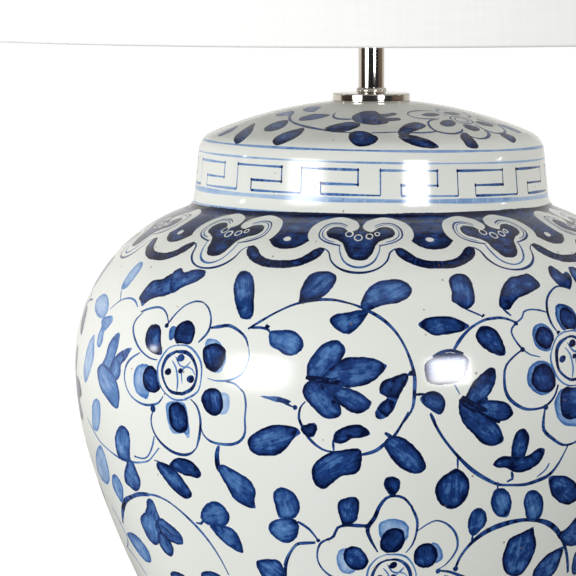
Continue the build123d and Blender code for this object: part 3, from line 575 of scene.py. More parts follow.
class Skin:
    """The jar's glazed outside: the foot ring, and a run of tangent arcs from the ankle up to the flat
    land on the lid. A place on it is a turn in degrees, 0 facing the camera, and a run in mm along the
    profile, 0 at the ankle."""

    def __init__(self, jar):
        mm = lambda v: v / MM
        floor = mm(jar.felt + jar.foot_height)
        shoulder = Vector((mm(jar.belly_radius - jar.shoulder_round), mm(jar.belly_level)))
        belly = Vector((mm(jar.belly_radius - jar.belly_round), mm(jar.belly_level)))
        hang = jar.hang
        taper = belly + (mm(jar.taper_round - jar.belly_round)) * Vector((-math.cos(hang), math.sin(hang)))
        taper_start = -math.asin((taper.y - floor) / mm(jar.taper_round))
        dome = Vector((0.0, mm(jar.dome_top - jar.dome_round)))
        lid_edge_level = dome.y + math.sqrt(mm(jar.dome_round) ** 2 - mm(jar.collar_top) ** 2)
        rise = math.sqrt(1 - ((mm(jar.collar_radius) - shoulder.x) / mm(jar.shoulder_round)) ** 2)
        low = Vector((mm(jar.collar_radius), shoulder.y + mm(jar.shoulder_round) * rise))
        high = Vector((mm(jar.collar_top), lid_edge_level))
        up = (high - low).normalized()
        out = Vector((up.y, -up.x))
        hollow = self.tangent(low + out * mm(jar.collar_fillet), up, shoulder,
                              mm(jar.shoulder_round + jar.collar_fillet), 1)
        rim = self.tangent(high - out * mm(jar.lid_edge), up, dome, mm(jar.dome_round - jar.lid_edge), 0)
        to_hollow = math.atan2(hollow.y - shoulder.y, hollow.x - shoulder.x)
        out_angle = math.atan2(out.y, out.x)
        dome_start = math.atan2(rim.y - dome.y, rim.x)
        land = math.acos(mm(jar.land_radius) / mm(jar.dome_round))
        points = []
        for centre, radius, first, last, count in (
            (taper, mm(jar.taper_round), taper_start, -hang, 80),
            (belly, mm(jar.belly_round), -hang, 0.0, 40),
            (shoulder, mm(jar.shoulder_round), 0.0, to_hollow, 90),
            (hollow, -mm(jar.collar_fillet), to_hollow, out_angle, 16),
            (rim, mm(jar.lid_edge), out_angle, dome_start, 20),
            (dome, mm(jar.dome_round), dome_start, land, 60),
        ):
            for angle in np.linspace(first, last, count):
                way = Vector((math.cos(angle), math.sin(angle)))
                points.append((*(centre + way * radius), *way))
        foot = [(mm(jar.foot_radius), mm(jar.felt), 1.0, 0.0),
                (mm(jar.foot_radius), floor - mm(jar.ankle), 1.0, 0.0)]
        table = np.array(foot + points)
        steps = np.hypot(*np.diff(table[:, :2], axis=0).T)
        keep = np.r_[True, steps > 1e-6]
        self.table = table[keep]
        self.run = np.r_[0.0, np.cumsum(np.hypot(*np.diff(self.table[:, :2], axis=0).T))]
        self.run -= self.run[2]
        self.low, self.top = self.run[0], self.run[-1]

    @staticmethod
    def tangent(start, way, centre, distance, root):
        """The point on the line from start along way that is that distance from the centre."""
        gap = start - centre
        half = gap.dot(way)
        reach = math.sqrt(half * half - gap.length_squared + distance * distance)
        roots = (-half + reach, -half - reach)
        return start + way * (roots[0] if root else min(roots, key=abs))

    def at(self, turn, run):
        """Places and normals on the skin, in metres, for arrays of turns and runs."""
        r, z, nr, nz = (np.interp(run, self.run, self.table[:, i]) for i in range(4))
        a = np.radians(turn)
        place = np.stack([r * np.sin(a), -r * np.cos(a), z], -1) * MM
        normal = np.stack([nr * np.sin(a), -nr * np.cos(a), nz], -1)
        return place, normal / np.linalg.norm(normal, axis=-1, keepdims=True)

    def inside(self, wall):
        """The (radius, height) points of the wall's inner face, from the lid down to the floor."""
        table = self.table[::-1]
        return [(r - nr * wall, z - nz * wall) for r, z, nr, nz in table[::6]]


ACROSS, ALONG = 0.55, 0.07  # how often the brush's streaks change for each mm across and along it
SQUARE = 2.444  # mm round the belly for each degree, at which strokes are laid out
LID_SQUARE = 1.396  # the same on the lid, whose girth is smaller


class Brush:
    """Strokes of cobalt on the unrolled skin. Turns are in degrees, runs and sizes in mm, headings
    in degrees anticlockwise from the way that turns grow."""

    def __init__(self, seed):
        self.strokes = []
        self.chance = random.Random(seed)
        self.half = 0.0
        self.square = SQUARE

    def lay(self, outline, tone, flow):
        """Keeps a stroke: its outline in degrees and mm, its strength, and the flow of the brush,
        as a start point and a direction."""
        area = sum(
            a[0] * b[1] - b[0] * a[1] for a, b in zip(outline, outline[1:] + outline[:1])
        )
        if area < 0:
            outline = outline[::-1]
        self.strokes.append((outline, tone, flow, self.chance.random() * 50, self.square))

    def placed(self, at, local, heading=0.0):
        """Points in mm beside a place on the skin, turned to the heading, in degrees and mm."""
        c, s = math.cos(math.radians(heading)), math.sin(math.radians(heading))
        return [
            (at[0] + self.half + (x * c - y * s) / self.square, at[1] + x * s + y * c)
            for x, y in local
        ]

    def leaf(self, at, long, wide, heading=0.0, tone=0.8, bend=0.0, full=0.42, tip=0.75):
        """A leaf of one or two dabs, round at its base and pointed at its tip."""
        steps = max(8, int(long * 0.8))
        phase = self.chance.random() * 6
        peak = full ** (tip * full / (1 - full)) * (1 - full) ** tip
        sides = []
        for side in (1, -1):
            edge = []
            for k in range(1, steps):
                t = k / steps
                swell = t ** (tip * full / (1 - full)) * (1 - t) ** tip / peak
                ripple = 1 + 0.06 * math.sin(9 * t + phase * side) + self.chance.uniform(-0.02, 0.02)
                y = side * wide / 2 * swell * ripple + bend * (4 * t * (1 - t) - 0.5)
                edge.append(((t - 0.5) * long, y))
            sides.append(edge)
        base, point = (-long / 2, -bend / 2), (long / 2, -bend / 2)
        outline = [base, *sides[1], point, *sides[0][::-1]]
        self.lay(self.placed(at, outline, heading), tone, (self.placed(at, [base])[0], heading))

    def blob(self, at, long, wide=None, heading=0.0, tone=0.85, ripple=0.05):
        """A round dab."""
        wide = wide or long
        phases = [self.chance.random() * 6 for _ in range(2)]
        steps = max(12, int(2.2 * (long + wide) / 2))
        outline = []
        for k in range(steps):
            a = math.tau * k / steps
            swell = 1 + ripple * math.sin(2 * a + phases[0]) + ripple * 0.7 * math.sin(3 * a + phases[1])
            outline.append((long / 2 * math.cos(a) * swell, wide / 2 * math.sin(a) * swell))
        self.lay(self.placed(at, outline, heading), tone, (self.placed(at, [(0, 0)])[0], heading))

    def smooth(self, points, gap=2.2, closed=False):
        """Points about gap mm apart on a smooth curve through (turn, run) points."""
        given = [Vector((t * self.square, r)) for t, r in points]
        count = len(given)
        path = []
        for i in range(count if closed else count - 1):
            if closed:
                a, b, c, d = (given[(i + k) % count] for k in (-1, 0, 1, 2))
            else:
                b, c = given[i], given[i + 1]
                a = given[i - 1] if i else b * 2 - c
                d = given[i + 2] if i + 2 < count else c * 2 - b
            steps = max(1, round((c - b).length / gap))
            for k in range(steps):
                t = k / steps
                path.append(
                    0.5 * ((2 * b) + (c - a) * t + (2 * a - 5 * b + 4 * c - d) * t * t
                           + (3 * b - a - 3 * c + d) * t ** 3)
                )
        return path if closed else path + [given[-1]]

    def line(self, points, width=1.2, tone=0.62, taper=0.45, gap=2.2):
        """A brush line through (turn, run) points, thinner at its ends."""
        path = self.smooth(points, gap)
        count = len(path)
        phase = self.chance.random() * 6
        left, right = [], []
        for i, here in enumerate(path):
            way = (path[min(i + 1, count - 1)] - path[max(i - 1, 0)]).normalized()
            side = Vector((-way.y, way.x))
            t = i / max(count - 1, 1)
            end = taper + (1 - taper) * min(1.0, 6 * min(t, 1 - t))
            half = width / 2 * end * (1 + 0.22 * math.sin(t * count * 0.35 + phase))
            left.append(here + side * half)
            right.append(here - side * half)
        outline = [(p.x / self.square + self.half, p.y) for p in right + left[::-1]]
        self.lay(outline, tone, (outline[0], 0.0))

    def ring(self, at, radius, width=0.9, tone=0.62, tall=1.0):
        """A circle drawn in two strokes."""
        for first in (100, 280):
            arc = [math.radians(first + self.chance.uniform(-6, 6) + 31 * k) for k in range(7)]
            self.line(
                [(at[0] + radius * math.cos(a) / self.square, at[1] + radius * tall * math.sin(a))
                 for a in arc], width, tone, 0.7, 1.6,
            )

    def bare(self, points):
        """A shape kept free of cobalt, through (turn, run) points."""
        path = self.smooth(points, closed=True)
        outline = [(p.x / self.square + self.half, p.y) for p in path]
        self.lay(outline, 0.0, (outline[0], 0.0))

    def fill(self, points, tone=0.85, gap=1.3):
        """A shape filled with cobalt, brushed along its length, through (turn, run) points."""
        path = self.smooth(points, gap, closed=True)
        size = 0.12 * gap
        path = [
            p + Vector((self.chance.uniform(-size, size), self.chance.uniform(-size, size)))
            for p in path
        ]
        spread = np.cov(np.array([tuple(p) for p in path]).T)
        way = np.linalg.eigh(spread)[1][:, 1]
        outline = [(p.x / self.square + self.half, p.y) for p in path]
        self.lay(outline, tone, (outline[0], math.degrees(math.atan2(way[1], way[0]))))


# The decoration's strokes. LEAVES, WASHES and DABS hold a strength and a closed outline, STEMS and SEAMS a
# width, a strength and a line, and KNOTS a size, a strength and a place. Places are (turn, run).
LEAVES = [
    (0.34, [(-63.1, 204.7), (-61.4, 204.4), (-60.4, 200.6), (-60.9, 193.3), (-62, 189.4), (-63.9, 188.9),
      (-64.6, 193.9), (-64.3, 200)]),
    (0.33, [(-74.8, 181.1), (-72.3, 184.2), (-70, 184.7), (-67.7, 182.8), (-65.5, 177.8), (-66.4, 173.3),
      (-69.1, 172.8), (-72.3, 175), (-74.1, 177.8)]),
    (0.38, [(-66.6, 173.3), (-64.5, 174.7), (-62.7, 175), (-61.9, 172.2), (-63.2, 168.9), (-64.3, 166.1),
      (-64.1, 162.2), (-65.2, 158.7), (-66.8, 160), (-66.9, 165), (-66.4, 168.9), (-67.2, 171.7)]),
    (0.32, [(-69.1, 164.4), (-68.2, 161.1), (-67.5, 154.4), (-68.2, 150), (-70, 144.4), (-72.3, 140),
      (-73.6, 140.6), (-74.1, 145.6), (-73, 152.2), (-71.4, 160)]),
    (0.52, [(-63.6, 150), (-62, 155.6), (-61.4, 161.1), (-59.3, 166.7), (-57.8, 167.2), (-57.5, 162.2),
      (-58.3, 155.6), (-59.5, 150), (-61.4, 146.7)]),
    (0.6, [(-60, 150), (-58.4, 155.6), (-55.9, 159.4), (-53.6, 161.1), (-52.8, 160.8), (-54.3, 155.6),
      (-55.9, 152.2), (-55.9, 148.3), (-57.5, 144.4), (-59.5, 145.6)]),
    (0.58, [(-65.5, 148.3), (-63.2, 151.7), (-60.5, 150), (-57.7, 145.6), (-56.5, 138.9), (-56.8, 133.9),
      (-57.5, 131.1), (-59.1, 131.3), (-61.4, 134.4), (-64.1, 138.9), (-65.2, 143.3)]),
    (0.85, [(-55.2, 186.1), (-54.3, 192.2), (-53.2, 195.6), (-50.5, 196.9), (-48.2, 200.6), (-45.9, 197.8),
      (-45, 192.2), (-45.9, 189.4), (-47.7, 187.8), (-50, 186.7), (-51.8, 184.4), (-53, 181.7), (-54.3,
      184.4)]),
    (0.8, [(-48.2, 200), (-47.5, 203.3), (-46.4, 203.9), (-44.8, 201.7), (-43.2, 203.3), (-41.4, 204.2),
      (-39.3, 203.6), (-38.7, 200.6), (-40, 197.2), (-43.2, 193.3), (-45.9, 190)]),
    (0.8, [(-30.2, 203.9), (-28.2, 204.2), (-26.6, 201.1), (-25.5, 195.6), (-24.8, 187.8), (-24.4, 180.6),
      (-25.5, 178.9), (-27, 179.8), (-28.3, 184.4), (-29.5, 190), (-30.5, 196.7)]),
    (0.85, [(-13.6, 204.4), (-11.8, 205.8), (-9.5, 205.3), (-8.3, 202.8), (-8.4, 198.9), (-9.8, 193.3),
      (-11.8, 190), (-13.6, 189.4), (-15.2, 187.8), (-15.5, 192.2), (-15.2, 197.8), (-14.5, 202.2)]),
    (0.68, [(-20.5, 173.3), (-18.6, 174.4), (-16.4, 174.7), (-14.5, 172.2), (-13.6, 167.2), (-14.8, 163.3),
      (-16.8, 162.4), (-18.6, 165), (-20.2, 167.2)]),
    (0.75, [(-21.8, 143.1), (-19.5, 143.3), (-17.3, 142.8), (-15.7, 141.1), (-16.1, 140), (-18.6, 140.6),
      (-20.5, 142)]),
    (0.85, [(-3.1, 186.1), (-2.7, 191.1), (-1.4, 196.7), (0.5, 200), (2.3, 200.9), (4.5, 201.4), (6.4,
      199.4), (7.4, 195.3), (6.4, 191.1), (4.1, 188.3), (1.8, 187.6), (-0.5, 185.6), (-2, 184.2)]),
    (0.82, [(-9, 180), (-7.7, 182.8), (-5.2, 183.9), (-3.2, 185), (-1.4, 184.4), (-2.3, 180), (-3.6, 176.1),
      (-5.2, 173.1), (-7, 174.4), (-8.4, 177.2)]),
    (0.8, [(-12.8, 157.8), (-11.4, 164.4), (-9.5, 169.1), (-7.3, 170.2), (-6.1, 167.8), (-5.7, 165), (-6.4,
      161.1), (-8.2, 155.6), (-10.5, 151.7), (-12.5, 151.7)]),
    (0.84, [(-13.6, 146.7), (-12.3, 151.1), (-10, 149.4), (-8.2, 145.6), (-6.6, 140), (-6.5, 135), (-8.2,
      133.3), (-10, 134.4), (-11.6, 138.3), (-13, 142.2)]),
    (0.8, [(-9.5, 149.4), (-5.9, 148.3), (-3.2, 146.1), (-1.4, 142.8), (-0.8, 140.6), (-1.8, 137.2), (-3.6,
      135.9), (-5.5, 137.8), (-7.7, 142.8)]),
    (0.84, [(-10.7, 151.1), (-8.2, 157.8), (-5.9, 161.7), (-3.2, 162.4), (-0.5, 161.7), (1.4, 159.4), (1.9,
      157.8), (0.5, 153.3), (-1.8, 149.4), (-4.5, 148.3), (-7.7, 148.7), (-10, 148.7)]),
    (0.9, [(0.5, 146.7), (0.9, 150.6), (3.2, 153.3), (5.5, 155), (5.9, 152.2), (5, 147.8), (4.1, 143.3),
      (3.2, 137.8), (1.8, 133.9), (0.2, 133.6), (-0.2, 136.7), (0.7, 140.6), (1.9, 143.3), (0.9, 145)]),
    (0.85, [(8, 143.3), (9.1, 145.6), (10.9, 146.4), (12.3, 143.9), (12.8, 140), (12.3, 136.1), (11.4, 135),
      (9.8, 137.8), (8.4, 140.6)]),
    (0.92, [(8, 177.6), (9.5, 180.6), (12.3, 181.7), (14.5, 181.3), (16.4, 179.4), (18.1, 176.4), (16.4,
      173.9), (13.6, 172.6), (10.9, 172.4), (9.1, 175)]),
    (0.88, [(15.4, 200), (16.4, 203.1), (18.6, 203.9), (20, 201.7), (20.4, 196.7), (20.1, 188.9), (18.6,
      185), (17.3, 185), (15.9, 187.8), (15.2, 189.4), (15.5, 194.4)]),
    (0.8, [(8.9, 155.6), (9.1, 159.4), (10.9, 162.2), (13.2, 163.9), (15.9, 163.3), (17.3, 160.6), (17,
      155.6), (15.9, 151.1), (13.2, 149.4), (10.5, 149.4), (9.3, 151.1)]),
    (0.92, [(19.1, 172.2), (20, 175.6), (21.4, 176.4), (23.2, 174.4), (24.3, 170), (24.9, 163.3), (24.1,
      161.7), (22.3, 162.8), (20.5, 165.6), (19.3, 168.9)]),
    (0.9, [(40.2, 201.1), (40.9, 205), (42, 206.1), (43.4, 203.3), (44.1, 201.1), (45.7, 202.2), (46.2,
      199.4), (45.5, 195.6), (43.9, 192.4), (42.3, 193.9), (40.9, 195.6)]),
    (0.92, [(25, 186.1), (25.7, 191.1), (27.3, 196.7), (29.5, 200.6), (32.3, 201.7), (34.8, 202), (36.4,
      195.8), (34.8, 193.3), (32.3, 191.1), (29.5, 188.9), (28, 185.6), (27, 183.6), (25.7, 184.2)]),
    (0.86, [(16.4, 141.7), (17.7, 148.9), (19.5, 153.3), (21.4, 156.4), (22.5, 155.6), (22.5, 150), (21.4,
      144.4), (19.5, 140.6), (17.3, 138.9)]),
    (0.86, [(18.9, 136.7), (19.8, 140.6), (21.8, 141.3), (24.5, 140), (25.9, 136.7), (26.1, 133.3), (24.1,
      130.9), (21.8, 131.7), (19.8, 133.3)]),
    (0.88, [(15.4, 142.2), (16.8, 139.4), (19.1, 136.7), (20.9, 133.3), (23, 130), (24.3, 124.4), (24.5,
      121.1), (22.3, 119.1), (20, 121.1), (18.2, 125.6), (16.4, 130), (15.4, 135.6)]),
    (0.36, [(-71, 118.3), (-70.2, 125.6), (-68.6, 131.7), (-66.4, 133.9), (-64.9, 131.7), (-65.2, 126.1),
      (-66.6, 120.6), (-68.6, 116.9)]),
    (0.66, [(-60.5, 106.7), (-60.5, 114.4), (-58.9, 120), (-56.6, 123.1), (-54.5, 120.6), (-54.6, 114.4),
      (-55.5, 108.9), (-55.7, 105.6), (-58.2, 105)]),
    (0.72, [(-60.5, 93.9), (-59.5, 98.9), (-58, 102.8), (-56.8, 105.8), (-55, 105.3), (-54.3, 100), (-53.9,
      96.1), (-55, 91.7), (-57, 89.4), (-59.5, 91.7)]),
    (0.34, [(-77.3, 94.4), (-75, 101.1), (-72.3, 106.1), (-69.8, 109.1), (-68, 110.2), (-66.9, 104.4),
      (-67.2, 97.8), (-68.6, 92.2), (-71.4, 88.9), (-74.1, 89.4), (-76.4, 91.1)]),
    (0.44, [(-68, 88.3), (-67, 93.3), (-65.2, 96.1), (-63.4, 95.8), (-62.2, 91.1), (-63.1, 86.1), (-65.2,
      81.1), (-66.8, 83.3)]),
    (0.5, [(-70.2, 62.8), (-68.2, 64.7), (-65.2, 65), (-62.5, 62.8), (-60.5, 57.8), (-60.5, 53.3), (-61.8,
      50.2), (-64.8, 50), (-67.5, 53.9), (-69.3, 58.9)]),
    (0.68, [(-59.1, 72.2), (-58.2, 76.1), (-55.9, 78.9), (-54.5, 82.2), (-53.6, 86.1), (-51.6, 86.7), (-51,
      81.1), (-50.7, 74.4), (-52.3, 68.9), (-54.3, 62.8), (-56.4, 61.3), (-58.4, 64.4)]),
    (0.72, [(-53.6, 72.2), (-50.9, 77.2), (-48.6, 75.6), (-46.1, 71.7), (-45.1, 68.3), (-45.7, 64.4),
      (-47.7, 63.9), (-50, 65), (-52.3, 66.7)]),
    (0.76, [(-53.2, 68.9), (-50.9, 68.3), (-49.5, 64.4), (-49.5, 60), (-51.1, 56.4), (-53.2, 57.8), (-54.2,
      62.2)]),
    (0.86, [(-47.5, 104.4), (-46.8, 107.2), (-44.1, 106.7), (-42.3, 104.4), (-40.5, 98.9), (-39.1, 92.2),
      (-40.9, 89.4), (-42.5, 90.6), (-44.5, 94.4), (-46.4, 100)]),
    (0.84, [(-43.6, 106.7), (-41.8, 109.8), (-39.5, 110.6), (-37.3, 108.9), (-35.8, 103.9), (-36.6, 101.1),
      (-38.6, 101.4), (-40.7, 102.2), (-42.5, 104.4)]),
    (0.8, [(-54.5, 45), (-53.2, 47.6), (-50.9, 48), (-48.6, 46.4), (-47.7, 43.3), (-49.5, 38.9), (-52.7,
      38.9)]),
    (0.75, [(-43, 48.3), (-41.4, 50.8), (-39.1, 51.1), (-37, 49.4), (-36.4, 45.6), (-38.6, 41.1), (-41.8,
      42.2)]),
    (0.72, [(-38.3, 80), (-37.5, 84.4), (-35.7, 88.3), (-33.6, 89.8), (-31.8, 87.8), (-30.8, 82.8), (-31.4,
      78.9), (-32.7, 76.7), (-35, 77.2), (-36.8, 76.7)]),
    (0.7, [(-36.4, 76.7), (-34.5, 77.8), (-32.3, 77.2), (-30.5, 75.6), (-29.3, 70), (-29.3, 63.3), (-31.4,
      64.4), (-33.6, 67.8), (-35.2, 71.7)]),
    (0.76, [(-31.6, 106.7), (-30.5, 109.1), (-27.7, 106.1), (-25, 102.2), (-24, 96.7), (-24.5, 91.1),
      (-24.6, 87.4), (-26.8, 88.3), (-29.1, 91.7), (-30.2, 97.8), (-31.1, 102.2)]),
    (0.86, [(-24.5, 118.3), (-24.5, 122.2), (-22.7, 126.1), (-20.5, 128.9), (-17.7, 130), (-15, 128.9),
      (-14.1, 126.1), (-15.5, 123.3), (-16.8, 118.9), (-18.6, 115.3), (-21.8, 114.4), (-23.6, 115.6)]),
    (0.72, [(-20.5, 94.4), (-19.5, 98.3), (-18.2, 99.1), (-16.4, 97.2), (-15.2, 92.8), (-15.2, 87.8),
      (-16.4, 83.3), (-18.2, 82.8), (-19.8, 83.3), (-20.2, 88.9)]),
    (0.76, [(-22.4, 77.2), (-21.4, 81.1), (-19.5, 82.8), (-17.3, 83.3), (-15.9, 81.7), (-15.7, 77.8),
      (-16.4, 73.3), (-18.2, 70), (-20, 70.6), (-21.6, 73.3)]),
    (0.78, [(-26.7, 57.8), (-25.5, 60.2), (-23.2, 60.8), (-20.9, 60), (-20.2, 53.3), (-21.4, 47.8), (-23.6,
      45.6), (-25.7, 50)]),
    (0.9, [(-12.3, 105.6), (-11.8, 111.1), (-9.5, 116.1), (-6.8, 118.3), (-3, 118.9), (-2.8, 111.1), (-3.9,
      106.7), (-6.4, 105.6), (-8.2, 102.2), (-10, 98.9), (-11.6, 100.6)]),
    (0.92, [(-14.1, 127.8), (-13.4, 130), (-11.4, 131.3), (-10.9, 128.3), (-11.6, 124.7), (-13, 125)]),
    (0.9, [(-8, 123.3), (-7.5, 127.2), (-5.7, 129.8), (-3.4, 130.9), (-1.8, 128.9), (-1.1, 126.1), (-2.7,
      124.4), (-4.5, 123.9), (-6.1, 121.7), (-7.5, 121.7)]),
    (0.88, [(1.4, 121.7), (2.5, 125), (4.5, 125), (6.8, 121.1), (8.6, 115.6), (9.5, 110), (8.6, 107.2),
      (6.8, 106.9), (4.5, 110), (2.5, 115.6)]),
    (0.88, [(1.5, 101.7), (2, 105), (3.2, 105.6), (4.5, 103.9), (4.6, 99.4), (3.4, 95.6), (2.3, 97.2)]),
    (0.88, [(-7.6, 89.4), (-7, 93.3), (-4.5, 95.2), (-3.3, 93.3), (-3.4, 86.7), (-4.1, 82.2), (-6.4, 80.2),
      (-7, 83.3)]),
    (0.93, [(11.6, 100), (12.5, 104.4), (14.1, 107.2), (15.2, 108.9), (17, 106.7), (18.4, 101.1), (18.2,
      94.4), (16.8, 89.4), (14.8, 88.3), (12.7, 91.1), (11.7, 95.6)]),
    (0.78, [(19, 81.1), (19.5, 86.1), (20.9, 88.3), (22.5, 86.1), (23.2, 81.1), (22.3, 76.7), (20.7, 73.3),
      (19.5, 76.1)]),
    (0.76, [(23.4, 93.3), (23.9, 97.2), (25.5, 97.8), (27, 95.6), (28.2, 90), (28, 83.3), (26.4, 82.4),
      (24.8, 84.4), (23.6, 88.9)]),
    (0.76, [(30.9, 91.1), (31.4, 95), (33.2, 95.6), (35.2, 92.2), (36.3, 85.6), (36.1, 81.1), (34.5, 79.4),
      (32.7, 80.6), (31.6, 85.6)]),
    (0.9, [(36.1, 101.7), (39.1, 102), (41.8, 100), (44.5, 95.6), (46.4, 90), (43.6, 86.1), (40.9, 87.2),
      (38.2, 91.1), (36.8, 95.6)]),
    (0.9, [(28.9, 67.8), (29.5, 71.1), (31.8, 73.3), (34.1, 75.6), (34.8, 76.1), (35.5, 72.2), (36.7, 67.2),
      (36.9, 61.1), (36.1, 54.4), (34.8, 50.2), (32.3, 50), (30, 53.3), (28.6, 60)]),
    (0.88, [(38.2, 51.1), (39.1, 55.6), (40.9, 60), (43.2, 62.2), (45.5, 63.3), (45.9, 57.8), (45.9, 51.1),
      (44.5, 46.7), (41.8, 44.4), (39.1, 46.7)]),
    (0.86, [(42, 70.6), (44.5, 73.3), (46.8, 78.9), (48.6, 76.7), (50.9, 64.4), (48.2, 62.8), (45.5,
      64.4)]),
    (0.9, [(22.7, 110), (24.1, 113.6), (25.9, 113.9), (28.2, 112.8), (30.5, 113.9), (32.3, 116.7), (33.9,
      116.1), (33.6, 111.1), (31.8, 107.2), (29.5, 105.3), (27.3, 105.8), (25.9, 107.8), (24.1, 108.3)]),
    (0.88, [(26.5, 121.1), (27.3, 125.6), (28.7, 126.9), (30, 123.3), (29.9, 116.7), (29.1, 112.2), (26.8,
      112.2), (26.4, 116.7)]),
]
WASHES = [
    (0.4, [(-51.7, 146.7), (-50.9, 152.2), (-48.6, 154.4), (-46.8, 152.2), (-47.3, 138.9), (-49.3, 138.3),
      (-51.1, 141.1)]),
    (0.5, [(-43, 172.2), (-42, 173.9), (-41.1, 172.2), (-41.4, 167.8), (-42.6, 166.9)]),
    (0.3, [(-33.9, 166.7), (-32.3, 168.9), (-30.5, 167.2), (-29, 162.2), (-29, 157.8), (-30, 153.3), (-31.8,
      154.4)]),
    (0.28, [(-30.5, 143.9), (-28.5, 141.7), (-28.1, 136.7), (-29.3, 133.9), (-30.9, 134.4)]),
    (0.22, [(-30, 143.3), (-28.2, 143.3), (-28, 136.7), (-29.3, 133.3), (-30.9, 135.6)]),
    (0.36, [(-42.8, 133.3), (-42.4, 136.7), (-41.1, 138), (-38.6, 138), (-37.6, 135.6), (-37.2, 127.8),
      (-37.4, 120.9), (-38.1, 120.9), (-38.6, 123.1), (-40.5, 122.2), (-42, 123.9)]),
    (0.5, [(31.1, 172.2), (32.3, 175.6), (34.1, 176.1), (35.5, 173.3), (36.1, 170), (35.5, 164.4), (33.6,
      162.6), (31.6, 165)]),
    (0.46, [(29, 151.1), (30, 156.7), (32.3, 158.6), (34.3, 156.7), (35.5, 150), (34.8, 144.2), (32.3,
      142.2), (29.8, 145.6)]),
    (0.6, [(37.5, 177.8), (38.3, 184.1), (40, 185.2), (42.4, 182.4), (43.1, 176.7), (41.4, 170.9), (38.9,
      171.3)]),
    (0.45, [(35.3, 137.8), (36.3, 143.3), (37.3, 144.7), (39.5, 145.8), (43.2, 144.4), (43.2, 127.8), (39.1,
      126.4), (36.4, 130)]),
    (0.42, [(0.7, 76.1), (0.8, 81.7), (3.2, 83.8), (5.5, 82.8), (6.8, 78.9), (6.4, 72.2), (4.5, 73.3), (1.8,
      71.1)]),
    (0.34, [(-8.3, 61.1), (-7.7, 66.7), (-5.9, 68.3), (-3.6, 67.8), (-4.1, 56.7), (-5.9, 54.2), (-7.5,
      55.6)]),
    (0.4, [(11.4, 70), (13.2, 70), (14.6, 63.3), (13.4, 59.8), (10.5, 61.1)]),
]
DABS = [
    (0.95, [(-49.2, 170), (-48.2, 173.3), (-46.4, 173.6), (-45.2, 171.1), (-44.8, 166.7), (-43.9, 160),
      (-45.5, 159.4), (-47.7, 161.1), (-49, 164.4)]),
    (0.98, [(-41.1, 174.4), (-39.1, 176.9), (-37.3, 175.3), (-36.5, 171.1), (-37, 166.1), (-38.6, 165),
      (-40.7, 165.6), (-41.6, 170)]),
    (1, [(-48.9, 147.8), (-48.2, 152.2), (-46.6, 153.9), (-45, 151.7), (-43.7, 145.6), (-44.8, 141.7),
      (-46.8, 141.1), (-48.4, 143.3)]),
    (0.95, [(-34.1, 163.9), (-32.7, 166.4), (-30.9, 166.7), (-29.3, 164.4), (-29, 161.1), (-29.8, 155.6),
      (-31.4, 153.1), (-33, 155), (-33.9, 158.9)]),
    (0.95, [(-34.1, 140.6), (-33.2, 144.4), (-31.4, 145.9), (-29.8, 143.9), (-29.3, 138.9), (-29.8, 134.4),
      (-31.4, 132.4), (-33.1, 134.4), (-33.9, 137.8)]),
    (1, [(-42.2, 131.1), (-41.6, 136.1), (-39.8, 137.8), (-38, 135.6), (-37.4, 128.9), (-38.1, 123.9), (-40,
      123), (-41.6, 125)]),
    (0.97, [(31.6, 170), (32.7, 174.2), (34.5, 174.4), (36, 170), (35.2, 165), (33.6, 163.6), (32, 166.1)]),
    (0.97, [(29.9, 150), (30.9, 155.6), (33.2, 157.2), (35, 153.3), (35.5, 146.7), (34.1, 143.3), (31.8,
      143.9), (30.4, 146.7)]),
    (0.95, [(38.4, 176.7), (39.1, 182.2), (40.9, 183.3), (42.5, 180), (42.7, 175.6), (41.4, 171.7), (39.5,
      172.2)]),
    (0.95, [(36.6, 138.9), (37.3, 144.4), (40, 145.8), (43.2, 143.3), (43, 132.2), (39.5, 129.4), (37.3,
      132.2)]),
    (0.98, [(0.9, 71.1), (1.8, 76.7), (3.6, 78.9), (5.5, 77.8), (6.1, 72.2), (5.2, 67.2), (3.2, 65.3), (1.4,
      67.2)]),
    (0.95, [(-6.7, 62.2), (-6.4, 67.2), (-4.5, 69.4), (-2.7, 67.2), (-1.4, 61.1), (-2.7, 56.7), (-5.2,
      56.9)]),
    (0.96, [(8.1, 64.4), (8.9, 68.9), (10.9, 70.7), (12.7, 68.3), (13.4, 63.3), (12.5, 58.3), (10.5, 57.2),
      (8.6, 59.4)]),
]
